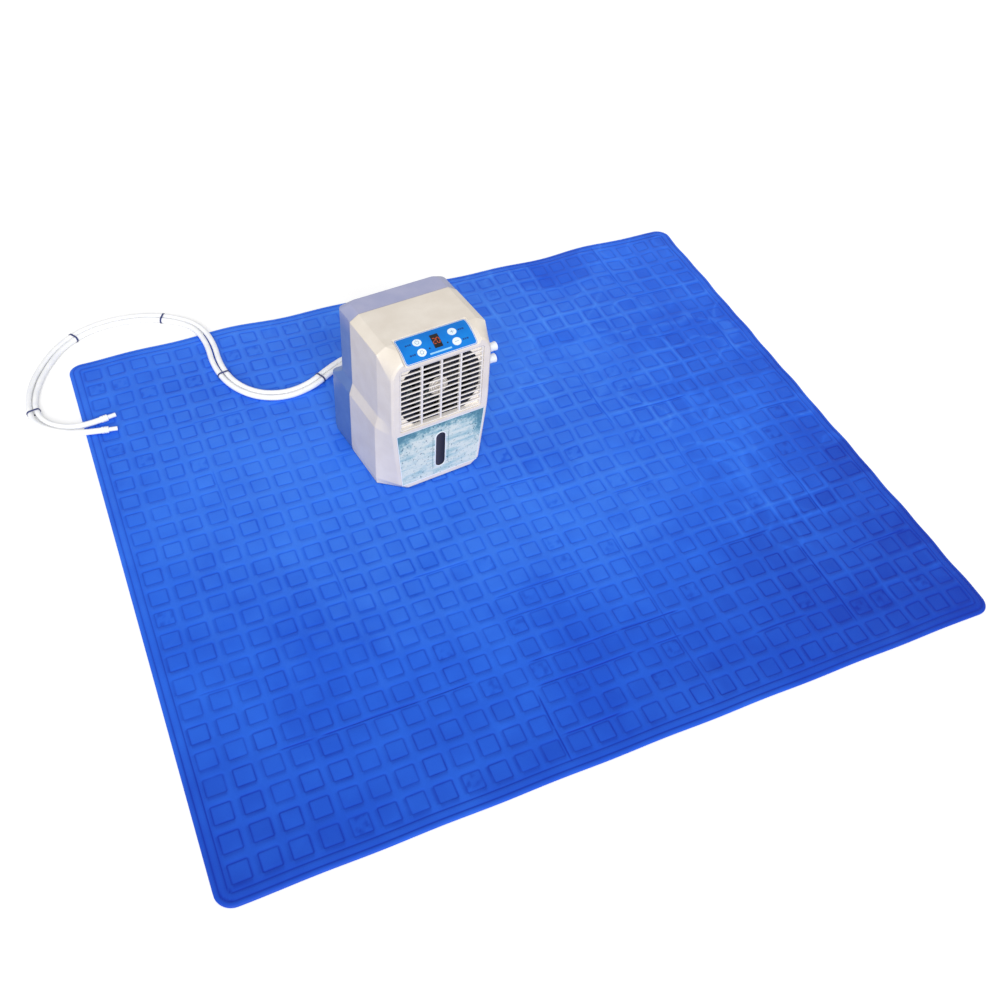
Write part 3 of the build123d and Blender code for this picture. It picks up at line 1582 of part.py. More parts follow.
inlet_length = 11
with BuildPart() as power_inlet:
    with BuildSketch(upright(rear_face)):
        with Locations(inlet_at):
            Circle(inlet_flange[0])
    extrude(amount=-inlet_flange[1])
    with BuildSketch(upright(rear_face)):
        with Locations(inlet_at):
            Circle(inlet_radius)
    extrude(amount=inlet_length)
    with BuildSketch(upright(rear_face + inlet_flange[1])):
        with Locations(inlet_at):
            Circle(inlet_bore_radius)
            Circle(inlet_pin_radius, mode=Mode.SUBTRACT)
    extrude(amount=inlet_bore_length, mode=Mode.SUBTRACT)
power_inlet.part.label = "power_inlet"
export_step(power_inlet.part, "parts/power_inlet.step")
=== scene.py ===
import math

import bpy
import numpy as np
from mathutils import Matrix, Vector, noise


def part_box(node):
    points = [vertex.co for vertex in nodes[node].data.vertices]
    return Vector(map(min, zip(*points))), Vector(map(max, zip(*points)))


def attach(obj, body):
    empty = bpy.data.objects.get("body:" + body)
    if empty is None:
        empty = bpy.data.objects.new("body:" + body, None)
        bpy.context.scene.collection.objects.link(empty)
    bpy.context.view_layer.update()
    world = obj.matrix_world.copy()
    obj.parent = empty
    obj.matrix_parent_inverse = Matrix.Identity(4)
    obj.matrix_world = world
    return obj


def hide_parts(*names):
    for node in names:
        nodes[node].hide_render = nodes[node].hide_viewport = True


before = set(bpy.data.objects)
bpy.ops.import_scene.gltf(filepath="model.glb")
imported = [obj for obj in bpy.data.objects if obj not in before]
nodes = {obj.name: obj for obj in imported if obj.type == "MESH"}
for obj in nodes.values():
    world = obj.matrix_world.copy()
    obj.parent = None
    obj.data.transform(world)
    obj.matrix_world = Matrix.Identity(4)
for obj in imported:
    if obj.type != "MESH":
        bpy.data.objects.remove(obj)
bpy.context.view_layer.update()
print("frame loaded:", len(nodes), "nodes")


# small helpers

def tone(red, green, blue):  # a screen colour, 0 to 255, as the linear colour that the shaders use
    linear = []
    for value in (red, green, blue):
        share = value / 255
        linear.append(share / 12.92 if share <= 0.04045 else ((share + 0.055) / 1.055) ** 2.4)
    return (*linear, 1)


def newMaterial(name, roughness, specular):
    material = bpy.data.materials.new(name)
    material.use_nodes = True
    tree = material.node_tree
    shader = tree.nodes["Principled BSDF"]
    shader.inputs["Roughness"].default_value = roughness
    shader.inputs["Specular IOR Level"].default_value = specular
    return material, tree, shader


def newFinish(name, roughness, specular=0.5):  # a material, and the place on its object that its patterns read
    material, tree, shader = newMaterial(name, roughness, specular)
    place = tree.nodes.new("ShaderNodeTexCoord").outputs["Object"]
    return material, tree, shader, place


def plug(tree, socket, value):  # a link or a plain value, whichever it is
    if isinstance(value, bpy.types.NodeSocket):
        tree.links.new(value, socket)
    else:
        socket.default_value = value


def grainOf(tree, place, scale, detail=3.0, roughness=0.5, stretch=None):
    grain = tree.nodes.new("ShaderNodeTexNoise")
    grain.inputs["Scale"].default_value = scale
    grain.inputs["Detail"].default_value = detail
    grain.inputs["Roughness"].default_value = roughness
    if stretch:
        squeeze = tree.nodes.new("ShaderNodeMapping")
        squeeze.inputs["Scale"].default_value = stretch
        tree.links.new(place, squeeze.inputs["Vector"])
        place = squeeze.outputs["Vector"]
    tree.links.new(place, grain.inputs["Vector"])
    return grain.outputs["Fac"]


def rampOf(tree, source, stops):  # stops are (position, colour)
    ramp = tree.nodes.new("ShaderNodeValToRGB")
    elements = ramp.color_ramp.elements
    while len(elements) < len(stops):
        elements.new(0.5)
    for element, (position, colour) in zip(elements, stops):
        element.position = position
        element.color = colour
    tree.links.new(source, ramp.inputs["Fac"])
    return ramp.outputs["Color"]


def mottleOf(tree, place, scale, detail, low, high, start=0.3, end=0.7):  # patches of two screen colours
    return rampOf(tree, grainOf(tree, place, scale, detail), [(start, tone(*low)), (end, tone(*high))])


def axesOf(tree, place):
    apart = tree.nodes.new("ShaderNodeSeparateXYZ")
    tree.links.new(place, apart.inputs[0])
    return apart.outputs


def blendOf(tree, factor, first, second, mode="MIX"):
    mix = tree.nodes.new("ShaderNodeMix")
    mix.data_type = "RGBA"
    mix.blend_type = mode
    for socket, value in ((mix.inputs[0], factor), (mix.inputs[6], first), (mix.inputs[7], second)):
        plug(tree, socket, value)
    return mix.outputs[2]


def mixShaders(tree, factor, first, second, target):
    choose = tree.nodes.new("ShaderNodeMixShader")
    for socket, source in zip(choose.inputs, (factor, first, second)):
        tree.links.new(source, socket)
    tree.links.new(choose.outputs[0], target)


def mathOf(tree, operation, *values):
    step = tree.nodes.new("ShaderNodeMath")
    step.operation = operation
    for socket, value in zip(step.inputs, values):
        plug(tree, socket, value)
    return step.outputs[0]


def spreadOf(tree, source, fromLow, fromHigh, toLow=0.0, toHigh=1.0):
    spread = tree.nodes.new("ShaderNodeMapRange")
    for name, value in (("From Min", fromLow), ("From Max", fromHigh), ("To Min", toLow), ("To Max", toHigh)):
        spread.inputs[name].default_value = value
    tree.links.new(source, spread.inputs["Value"])
    return spread.outputs["Result"]


def bumpOf(tree, shader, height, strength, distance, soften=0.0):
    bump = tree.nodes.new("ShaderNodeBump")
    bump.inputs["Strength"].default_value = strength
    bump.inputs["Distance"].default_value = distance
    tree.links.new(height, bump.inputs["Height"])
    tree.links.new(bump.outputs["Normal"], shader.inputs["Normal"])
    if soften:  # edges catch the light as if rounded to this radius
        rounded = tree.nodes.new("ShaderNodeBevel")
        rounded.samples = 6
        rounded.inputs["Radius"].default_value = soften
        tree.links.new(rounded.outputs["Normal"], bump.inputs["Normal"])


def roughFrom(tree, shader, source, low, high):
    tree.links.new(spreadOf(tree, source, 0, 1, low, high), shader.inputs["Roughness"])


def paint(tree, shader, colour):
    tree.links.new(colour, shader.inputs["Base Color"])


def meshPiece(name, verts, faces, body, finish, smooth=True):
    mesh = bpy.data.meshes.new(name)
    mesh.from_pydata([tuple(v) for v in verts], [], faces)
    mesh.validate()
    mesh.update()
    mesh.shade_smooth() if smooth else mesh.shade_flat()
    piece = bpy.data.objects.new(name, mesh)
    bpy.context.scene.collection.objects.link(piece)
    mesh.materials.append(finish)
    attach(piece, body)
    return piece


def dress(names, finish):
    for name in names:
        materials = nodes[name].data.materials
        materials.clear()
        materials.append(finish)


# finishes

def padVinyl(name, welded=True):  # soft coated sheet, patchy blue; its tone attribute darkens it for weld lines and painted shade, and lightens it for painted highlights
    material, tree, shader, place = newFinish(name, 0.5, 0.18)
    broad = mottleOf(tree, place, 2.6, 4, (28, 90, 216), (44, 112, 236), 0.34, 0.66)
    patch = mottleOf(tree, place, 15, 3, (214, 224, 240), (255, 255, 255), 0.3, 0.62)
    colour = blendOf(tree, 0.5, broad, patch, "MULTIPLY")
    if welded:
        shade = tree.nodes.new("ShaderNodeAttribute")
        shade.attribute_name = "tone"
        # tone below 0.5 mixes in dark blue, for weld lines and painted shade; above 0.5 light blue, as painted
        # highlights
        colour = blendOf(tree, spreadOf(tree, shade.outputs["Fac"], 0.5, 0), colour, tone(8, 50, 170))
        colour = blendOf(tree, spreadOf(tree, shade.outputs["Fac"], 0.5, 1), colour, tone(74, 142, 248))
    paint(tree, shader, colour)
    bumpOf(tree, shader, grainOf(tree, place, 900, 2), 0.12, 0.0004)
    roughFrom(tree, shader, grainOf(tree, place, 30, 3), 0.42, 0.6)
    return material


def hoseVinyl():  # milky soft tube
    material, tree, shader, place = newFinish("hoseVinyl", 0.34, 0.4)
    colour = mottleOf(tree, place, 40, 2, (240, 242, 247), (250, 251, 253), 0.35, 0.65)
    paint(tree, shader, colour)
    roughFrom(tree, shader, grainOf(tree, place, 120, 3), 0.28, 0.42)
    bumpOf(tree, shader, grainOf(tree, place, 500, 2), 0.05, 0.0004)
    shader.inputs["Subsurface Weight"].default_value = 0.1
    shader.inputs["Subsurface Radius"].default_value = (0.004, 0.004, 0.005)
    return material


def mouldedPlastic(name, low, high, roughness=0.42, grain=1400, depth=0.08, soften=0.0):  # fine moulded texture
    material, tree, shader, place = newFinish(name, roughness)
    colour = mottleOf(tree, place, 26, 4, low, high, 0.32, 0.68)
    paint(tree, shader, colour)
    bumpOf(tree, shader, grainOf(tree, place, grain, 2), depth, 0.0003, soften)
    roughFrom(tree, shader, grainOf(tree, place, 70, 3), roughness - 0.06, roughness + 0.08)
    return material


def rearPlastic():  # slate blue, greyer and paler towards its top
    material, tree, shader, place = newFinish("rearPlastic", 0.34)
    low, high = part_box("rear_shell")
    rise = spreadOf(tree, axesOf(tree, place)["Z"], low.z, high.z)
    colour = rampOf(tree, rise, [
        (0, tone(92, 122, 176)), (0.5, tone(102, 130, 182)), (0.86, tone(112, 136, 186)), (1, tone(166, 168, 198)),
    ])
    cloud = mottleOf(tree, place, 22, 4, (226, 232, 244), (255, 255, 255))
    paint(tree, shader, blendOf(tree, 0.7, colour, cloud, "MULTIPLY"))
    bumpOf(tree, shader, grainOf(tree, place, 1400, 2), 0.06, 0.0003, 0.0022)
    roughFrom(tree, shader, grainOf(tree, place, 70, 3), 0.28, 0.42)
    return material


def ringedCap():  # the fan's cap, with turned rings
    material, tree, shader, place = newFinish("ringedCap", 0.4)
    low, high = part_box("fan_hub_cap")
    centre = tree.nodes.new("ShaderNodeMapping")
    centre.inputs["Location"].default_value = [-(a + b) / 2 for a, b in zip(low, high)]
    tree.links.new(place, centre.inputs["Vector"])
    rings = tree.nodes.new("ShaderNodeTexWave")
    rings.wave_type = "RINGS"
    rings.rings_direction = "Y"
    rings.inputs["Scale"].default_value = 64
    tree.links.new(centre.outputs["Vector"], rings.inputs["Vector"])
    colour = rampOf(tree, rings.outputs["Fac"], [(0.2, tone(186, 178, 164)), (0.5, tone(236, 229, 216))])
    worn = mottleOf(tree, place, 90, 3, (232, 230, 226), (255, 255, 255))
    paint(tree, shader, blendOf(tree, 0.8, colour, worn, "MULTIPLY"))
    bumpOf(tree, shader, rings.outputs["Fac"], 0.5, 0.0012)
    return material


filmSetup = {
    "narrow": 0.875,  # the film's width at its foot, as a share of that at its top
    "border": 0.984,  # where its pale line starts, from 0 in the middle to 1 at the side
    "footLine": (0.013, 0.009),  # and where those at its foot and its top do
    "topLine": (0.988, 0.992),
    "line": (240, 243, 243),
    "pale": (216, 224, 211),
    "streak": (180, 204, 199),
    "teal": (134, 176, 177),
    "deep": (88, 134, 144),
    "speck": (52, 88, 104),
}


def paintedFilm(setup):  # pale teal print: streaks below, and darker towards its top and side edges
    material, tree, shader, place = newFinish("paintedFilm", 0.3)
    pale, streak, teal, deep, speck, line = (tone(*setup[key]) for key in (
        "pale", "streak", "teal", "deep", "speck", "line"))
    low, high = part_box("tank_panel")
    axes = axesOf(tree, place)
    rise = spreadOf(tree, axes["Z"], low.z, high.z)
    half = spreadOf(tree, rise, 0, 1, setup["narrow"], 1)
    across = mathOf(tree, "DIVIDE", spreadOf(tree, axes["X"], low.x, high.x, -1, 1), half)
    aside = mathOf(tree, "ABSOLUTE", across)

    streaks = grainOf(tree, place, 15, 6, 0.62, (1, 1, 4.5))
    colour = rampOf(tree, streaks, [(0.3, teal), (0.42, streak), (0.54, pale)])
    topEdge = spreadOf(tree, rise, 0.8, 1.04)
    leftTop = mathOf(tree, "MULTIPLY", spreadOf(tree, across, -0.45, -1.1), spreadOf(tree, rise, 0.4, 1))
    rightEdge = mathOf(tree, "MULTIPLY", spreadOf(tree, across, 0.66, 1.02), spreadOf(tree, rise, 0.3, 0.7))
    blotch = spreadOf(tree, grainOf(tree, place, 62, 6, 0.75), 0.32, 0.68, -0.5, 0.5)
    dark = mathOf(tree, "ADD", mathOf(tree, "ADD", topEdge, leftTop), mathOf(tree, "ADD", rightEdge, blotch))
    deepShade = rampOf(tree, dark, [(0.45, teal), (0.95, deep)])
    colour = blendOf(tree, spreadOf(tree, dark, 0.12, 0.62), colour, deepShade)
    speckle = spreadOf(tree, grainOf(tree, place, 230, 2, 0.55), 0.37, 0.34)
    speckle = mathOf(tree, "MULTIPLY", speckle, spreadOf(tree, dark, -0.3, 0.5, 0.35, 0.95))
    colour = blendOf(tree, speckle, colour, speck)
    edge = spreadOf(tree, aside, setup["border"], setup["border"] + 0.004)
    for edgeLine in ("footLine", "topLine"):
        edge = mathOf(tree, "MAXIMUM", edge, spreadOf(tree, rise, *setup[edgeLine]))
    paint(tree, shader, blendOf(tree, edge, colour, line))
    shader.inputs["Coat Weight"].default_value = 0.25
    shader.inputs["Coat Roughness"].default_value = 0.25
    roughFrom(tree, shader, grainOf(tree, place, 90, 2), 0.28, 0.4)
    return material


def labelFilm():  # blue panel film
    material, tree, shader, place = newFinish("labelFilm", 0.44, 0.18)
    colour = mottleOf(tree, place, 30, 3, (8, 110, 200), (16, 124, 212))
    paint(tree, shader, colour)
    roughFrom(tree, shader, grainOf(tree, place, 160, 3), 0.38, 0.5)
    bumpOf(tree, shader, grainOf(tree, place, 1800, 1), 0.03, 0.0002)
    return material


def darkGlass(name, colour, fade=None):  # fade: the paler colour on its left side, and the node's name
    roughness = 0.3
    material, tree, shader, place = newFinish(name, roughness, 0.25)
    shade = mottleOf(tree, place, 60, 3, colour, [value + 8 for value in colour])
    if fade:
        paler, node = fade
        low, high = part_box(node)
        shade = blendOf(tree, spreadOf(tree, axesOf(tree, place)["X"], high.x, low.x), shade, tone(*paler))
    paint(tree, shader, shade)
    roughFrom(tree, shader, grainOf(tree, place, 200, 3), roughness - 0.05, roughness + 0.08)
    shader.inputs["Coat Weight"].default_value = 0.1
    shader.inputs["Coat Roughness"].default_value = 0.1
    return material


def brushedMetal(name, colour, roughness=0.34):
    material, tree, shader, place = newFinish(name, roughness)
    shade = rampOf(tree, grainOf(tree, place, 300, 3, 0.5, (1, 1, 12)), [
        (0.3, tone(*(value * 0.86 for value in colour))), (0.7, tone(*colour)),
    ])
    paint(tree, shader, shade)
    shader.inputs["Metallic"].default_value = 1
    roughFrom(tree, shader, grainOf(tree, place, 260, 3, 0.5, (1, 1, 8)), roughness - 0.1, roughness + 0.12)
    return material


def wovenFilter():
    material, tree, shader, place = newFinish("wovenFilter", 0.85)
    weave = tree.nodes.new("ShaderNodeTexChecker")
    weave.inputs["Scale"].default_value = 900
    weave.inputs["Color1"].default_value = tone(58, 60, 64)
    weave.inputs["Color2"].default_value = tone(26, 27, 30)
    tree.links.new(place, weave.inputs["Vector"])
    colour = blendOf(tree, grainOf(tree, place, 60), weave.outputs["Color"], tone(44, 45, 50))
    paint(tree, shader, colour)
    bumpOf(tree, shader, weave.outputs["Fac"], 0.3, 0.0005)
    return material


def printInk(name, colour, glow=0.0):  # thin printed or lit marks
    material, tree, shader, place = newFinish(name, 0.5, 0.3)
    shade = mottleOf(tree, place, 420, 3, [value * 0.92 for value in colour], colour)
    paint(tree, shader, shade)
    roughFrom(tree, shader, grainOf(tree, place, 300, 2), 0.42, 0.58)
    if glow:
        shader.inputs["Emission Color"].default_value = tone(*colour)
        shader.inputs["Emission Strength"].default_value = glow
    return material


finishes = {
    "pad": padVinyl("padVinyl"),
    "patch": padVinyl("patchVinyl", welded=False),
    "hose": hoseVinyl(),
    "tie": mouldedPlastic("tiePlastic", (20, 34, 92), (30, 46, 112), 0.4),
    "tip": mouldedPlastic("tipPlastic", (232, 235, 241), (244, 246, 249), 0.34),
    "cream": mouldedPlastic("creamPlastic", (220, 211, 199), (228, 220, 209), 0.42, soften=0.0025),
    "slats": mouldedPlastic("slatPlastic", (228, 222, 214), (236, 231, 224), 0.42, soften=0.0006),
    "cap": ringedCap(),
    "slate": rearPlastic(),
    "slateSlats": mouldedPlastic("slateSlats", (92, 118, 172), (106, 132, 186), 0.36),
    "pale": mouldedPlastic("palePlastic", (220, 224, 234), (232, 236, 243), 0.34),
    "dark": mouldedPlastic("darkPlastic", (10, 10, 12), (20, 20, 23), 0.5),
    "inner": mouldedPlastic("innerPlastic", (30, 32, 36), (44, 46, 51), 0.5),
    "cloudy": mouldedPlastic("cloudyPlastic", (176, 196, 206), (196, 212, 220), 0.36),
    "silicone": mouldedPlastic("siliconeTube", (196, 204, 208), (214, 220, 224), 0.5),
    "board": mouldedPlastic("boardLacquer", (18, 84, 44), (28, 104, 58), 0.3),
    "keys": mouldedPlastic("keyPlastic", (214, 230, 242), (228, 239, 248), 0.4),
    "rubber": mouldedPlastic("darkRubber", (26, 26, 27), (38, 38, 40), 0.75, 700, 0.15),
    "film": paintedFilm(filmSetup),
    "label": labelFilm(),
    "window": darkGlass("windowGlass", (20, 18, 20), ((70, 66, 68), "level_window")),
    "lens": darkGlass("lensGlass", (16, 12, 14)),
    "aluminium": brushedMetal("finAluminium", (196, 200, 204)),
    "steel": brushedMetal("screwSteel", (186, 186, 190), 0.28),
    "copper": brushedMetal("windingCopper", (196, 120, 70), 0.3),
    "filter": wovenFilter(),
    "whiteInk": printInk("whiteInk", (238, 242, 244)),
    "skyInk": printInk("skyInk", (150, 206, 242)),
    "navyInk": printInk("navyInk", (14, 62, 132)),
    "greyInk": printInk("greyInk", (134, 160, 182)),
    "tealInk": printInk("tealInk", (96, 136, 150)),
    "digits": printInk("litDigits", (176, 72, 44), 0.35),
}
dress(["port_patch"], finishes["patch"])
dress(["port_spigots", "hose_ties"], finishes["tie"])
dress(["connector_a", "connector_b"], finishes["tip"])
dress(["front_shell", "base_cover", "filler_cap"], finishes["cream"])
dress(["front_grille", "grille_plate"], finishes["slats"])
dress(["fan_hub_cap"], finishes["cap"])
dress(["rear_shell"], finishes["slate"])
dress(["rear_grille"], finishes["slateSlats"])
dress(["outlet_nozzle", "return_nozzle"], finishes["pale"])
dress(["fan_frame", "fan_rotor"], finishes["dark"])
dress(["pump_body", "pump_cover", "nozzle_nuts", "tube_clips", "key_switches", "display_module", "power_inlet"],
      finishes["inner"])
dress(["water_tank", "tank_lid", "filler_neck"], finishes["cloudy"])
dress(["pump_impeller", "float_stem", "float_ball"], finishes["tip"])
dress(["supply_tube", "return_tube", "drain_tube"], finishes["silicone"])
dress(["button_1", "button_2", "button_3", "button_4"], finishes["keys"])
dress(["feet", "drain_plug"], finishes["rubber"])
dress(["control_board"], finishes["board"])
dress(["tank_panel"], finishes["film"])
dress(["control_label"], finishes["label"])
dress(["level_window"], finishes["window"])
dress(["display_lens", "status_lights"], finishes["lens"])
dress(["radiator_core", "radiator_tanks"], finishes["aluminium"])
dress(["shell_screws", "fan_shaft", "fan_bearings", "fan_screws", "pump_pin", "board_screws"], finishes["steel"])
dress(["fan_stator"], finishes["copper"])
dress(["dust_filter"], finishes["filter"])
print("finishes made:", len(finishes))


# camera, at the photograph's angle

cameraSetup = {
    "place": (-0.9839, -1.4279, 1.7336),
    "yaw": -34.753,
    "pitch": 46,
    "roll": -4.789,
    "lens": 40.6,
    "sensor": 36,
    "farthest": 60,
}


def makeCamera(setup):
    yaw, pitch, roll = (math.radians(setup[key]) for key in ("yaw", "pitch", "roll"))
    ahead = Vector((-math.sin(yaw) * math.cos(pitch), math.cos(yaw) * math.cos(pitch), -math.sin(pitch)))
    level = Vector((math.cos(yaw), math.sin(yaw), 0))
    below = ahead.cross(level)
    right = math.cos(roll) * level + math.sin(roll) * below
    down = math.cos(roll) * below - math.sin(roll) * level
    turned = Matrix((right, -down, -ahead)).transposed()
    data = bpy.data.cameras.new("camera")
    data.lens = setup["lens"]
    data.sensor_width = setup["sensor"]
    data.clip_end = setup["farthest"]
    camera = bpy.data.objects.new("camera", data)
    bpy.context.scene.collection.objects.link(camera)
    camera.matrix_world = Matrix.Translation(setup["place"]) @ turned.to_4x4()
    bpy.context.scene.camera = camera


makeCamera(cameraSetup)
print("camera placed")


# hoses, along the same points as in the part's source, in metres

hoseSetup = {
    "radius": 0.0065,
    "onPad": 0.0142,
    "onFloor": 0.0082,
    "atEnd": 0.0138,
    "lengths": (1.379, 1.426),
    "roundSteps": 5,  # mesh steps round a quarter of the hose, and along each stretch
    "longSteps": 10,
}
onPad, onFloor, atEnd = (hoseSetup[key] for key in ("onPad", "onFloor", "atEnd"))  # heights of the middle line
routeA = [
    (-0.0609, 0.4956, onPad), (-0.112, 0.5019, onPad), (-0.169, 0.481, onPad), (-0.230, 0.451, onPad),
    (-0.300, 0.444, onPad), (-0.361, 0.476, onPad), (-0.399, 0.543, onPad), (-0.405, 0.626, onPad),
    (-0.388, 0.706, onPad), (-0.390, 0.779, onPad), (-0.421, 0.833, onFloor), (-0.477, 0.873, onFloor),
    (-0.549, 0.891, onFloor), (-0.620, 0.888, onFloor), (-0.684, 0.858, onFloor), (-0.734, 0.807, onFloor),
    (-0.775, 0.748, onFloor), (-0.801, 0.686, onFloor), (-0.803, 0.634, onFloor), (-0.781, 0.585, onPad),
    (-0.734, 0.560, atEnd), (-0.690, 0.563, atEnd),
]
routeB = [
    (-0.0591, 0.5104, onPad), (-0.111, 0.5168, onPad), (-0.175, 0.495, onPad), (-0.234, 0.465, onPad),
    (-0.296, 0.460, onPad), (-0.351, 0.488, onPad), (-0.385, 0.547, onPad), (-0.389, 0.624, onPad),
    (-0.372, 0.704, onPad), (-0.375, 0.780, onPad), (-0.409, 0.843, onFloor), (-0.471, 0.887, onFloor),
    (-0.547, 0.907, onFloor), (-0.624, 0.902, onFloor), (-0.692, 0.870, onFloor), (-0.746, 0.817, onFloor),
    (-0.789, 0.756, onFloor), (-0.815, 0.690, onFloor), (-0.820, 0.628, onFloor), (-0.792, 0.574, onPad),
    (-0.743, 0.541, atEnd), (-0.699, 0.529, atEnd),
]


def makeHose(name, route, node):
    curve = bpy.data.curves.new(name, "CURVE")
    curve.dimensions = "3D"
    curve.bevel_depth = hoseSetup["radius"]
    curve.bevel_resolution = hoseSetup["roundSteps"]
    curve.resolution_u = hoseSetup["longSteps"]
    curve.use_fill_caps = True
    spline = curve.splines.new("NURBS")
    spline.points.add(len(route) - 1)
    for point, place in zip(spline.points, route):
        point.co = (*place, 1)
    spline.order_u = 3
    spline.use_endpoint_u = True
    hose = bpy.data.objects.new(name, curve)
    bpy.context.scene.collection.objects.link(hose)
    curve.materials.append(finishes["hose"])
    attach(hose, "pad")
    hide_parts(node)


makeHose("hoseA", routeA, "hose_a")
makeHose("hoseB", routeB, "hose_b")
print("hoses laid")


# the pad: welded sheets, squares in rows, two weld lines round the border, and creases from its packing

padSetup = {
    "width": 1.6,
    "depth": 1.4,
    "thick": 0.006,
    "lowest": 0.0008,
    "highest": 0.0074,  # the hoses lie on it
    "corner": 0.032,
    "turn": -7,  # degrees, as it lies under the unit
    "columns": 30,
    "rows": 25,
    "pitch": (0.0518, 0.0539),
    "squareHalf": 0.0173,
    "squareCorner": 0.0028,

    # mesh lines: in from the edge, both ways from a square's middle, and on the side of it where creases run
    "edgeMarks": (0, 0.0006, 0.0016, 0.0032, 0.0052, 0.0072, 0.0092, 0.0112, 0.014, 0.018, 0.0212, 0.0232, 0.0252),
    "marks": (0, 0.005, 0.0095, 0.0141, 0.0158, 0.0173, 0.0188),
    "creaseMarks": (0.0214, 0.0224, 0.0234),
    "marksInside": 0.0268,  # how far from the edge the squares' lines start
    "marksApart": 0.0005,

    "weldWidth": 0.0015,
    "weldDepth": 0.0007,
    "weldStrength": (0.75, 1.05),
    "borderWelds": (0.0092, 0.0232),
    "borderDepth": 0.001,
    "rimThick": 0.0022,
    "rimRound": 0.007,
    "underCut": 0.0008,
    "calm": (0.004, 0.024),  # the border lies still: from here inwards, and over how far, all else grows
    "waves": 0.0011,
    "stray": 0.0018,  # how far the squares stray from a true grid
    "crown": (-0.0003, 0.0005),
    "tilt": 0.006,
    "sunkShare": 0.1,
    "dentedShare": 0.08,
    "flatShare": 0.35,  # of the squares on a fold, those that it passes by
    "ridgeWidth": 0.0035,
    "wrinkleWidth": 0.07,
    "ownTone": 0.014,
    "fade": 0.38,  # painted shade: deeper blue towards the corners
    "lean": (-0.1, 0.26),  # and painted shade towards the right and the near side, as a fall-off of light
    "heights": {  # in metres, at full strength
        "channel": 0.0005, "low": -0.0005, "dent": -0.0004, "crease": -0.0013, "step": 0.0003, "band": -0.0005,
        "wrinkle": 0.0006, "ridge": 0.0006,
    },
    "tones": {  # and how much lighter or darker each is
        # cloud and mottle are the sheet's own patchy colour; weld and border darken the weld lines, partly as painted
        # shade in their grooves; crease, dent, sunk, folded and shadow are painted shade; ridge, wrinkle and channel
        # are painted highlights
        "channel": 0.01, "weld": -0.34, "border": -0.34, "crease": -0.55, "dent": -0.22, "ridge": 0.2,
        "wrinkle": 0.13, "shadow": -0.14, "sunk": -0.05, "folded": -0.08, "cloud": 0.05, "mottle": 0.045,
    },
    "noises": {  # how fine each is, and where it starts
        "strayX": (7, 31), "strayY": (7, 47), "weld": (42, 5), "dent": (85, 19), "ridge": (8, 29),
        "ripple": (5.5, 3.1), "smallRipple": (17, 8.4), "wrinkle": (12, 83), "wrinkleGate": (5, 97),
        "band": (9, 13), "cloud": (3.2, 61), "mottle": (26, 71), "rowX": (6, 53), "rowY": (6, 67),
        "smallRowX": (13, 59), "smallRowY": (13, 71),
    },
    "gates": {"ridge": (0.3, 1.8), "wrinkle": (0.5, 2.5), "dent": (-0.1, 2.2)},  # where they show: base, gain
    "rowStray": (0.005, 0.0035),  # whole rows stray too, slowly and finely
    "edgeWaves": {  # size, pace along the edge and start
        "far": ((0.004, 9.5, 0.6), (0.003, 21, 0)), "near": ((0.0006, 23, 1),),
        "right": ((0.0008, 19, 1), (0.0009, 41, 0)),
    },
    "cornerShifts": {  # how far each corner lies off the true rectangle
        (-1, 1): (0.0107, 0.0004), (1, 1): (0.0393, 0.0373), (1, -1): (-0.0211, 0.0053), (-1, -1): (-0.0015, -0.0133),
    },
    "creaseWidth": 0.0009,
    "creaseAway": 0.0224,
    "creaseEnds": 0.3,  # over this part of a square they fade in and out
    "stepWidth": 0.012,
    "rowCreases": [  # the row that it runs above, from column, to column, strength
        (3, 2.4, 3.5, 0.9), (3, 3.9, 7.4, 1.0), (3, 7.7, 9.4, 0.9), (3, 11.8, 15.4, 0.9), (3, 15.5, 18, 1.0),
        (6, 11.8, 15.4, 0.7), (5, 11.7, 15.5, 0.7), (2, 11.7, 15.5, 1.1), (2, 16.5, 17.6, 0.8), (0, 11.7, 13.8, 1.0),
        (11, 14.1, 15.7, 0.9), (8, 9.2, 11.4, 0.6), (13, 21.6, 24.4, 0.8), (3, 26.4, 29, 0.8), (20, 25.6, 28.4, 0.6),
        (17, 24.6, 26.2, 0.6), (6, 0.4, 2.2, 0.5), (9, 18.6, 20.4, 0.6), (5, 21.4, 23.6, 0.6), (15, 8.4, 10.6, 0.5),
        (19, 3.4, 5.6, 0.4), (22, 9.8, 12.2, 0.4), (1, 20.4, 22.6, 0.7), (11, 27.2, 28.8, 0.6), (16, 17.4, 18.8, 0.5),
    ],
    "columnCreases": [  # the column that it runs right of, from row, to row, strength
        (11, 0.8, 2.0, 1.2), (11, -0.5, 0.8, 0.8), (17, -0.2, 7.6, 0.5), (24, 0.6, 4.2, 0.8), (25, 20.8, 24.6, 0.6),
        (6, 8.4, 10.2, 0.5), (20, 13.0, 16.4, 0.5), (28, 14.6, 17.6, 0.6), (15, 17.6, 19.6, 0.4), (3, 14.2, 16.4, 0.5),
        (22, 8.6, 11.4, 0.5), (26, 5.4, 8.8, 0.6),
    ],
    "foldColumns": ((11.6, 0.5), (15.5, 0.4), (18.1, 1.0), (25.2, 0.9)),  # where it was folded, and how plain that is
    "foldRows": ((3.5, 0.7), (11.4, 0.4), (20.2, 0.6)),
    "foldWidth": 0.016,
    "flatUnder": ("base_cover", "port_patch"),  # the pad lies flat under these
    "flatCorner": 0.02,
    "flatFade": 0.05,
    "seed": 11,
}


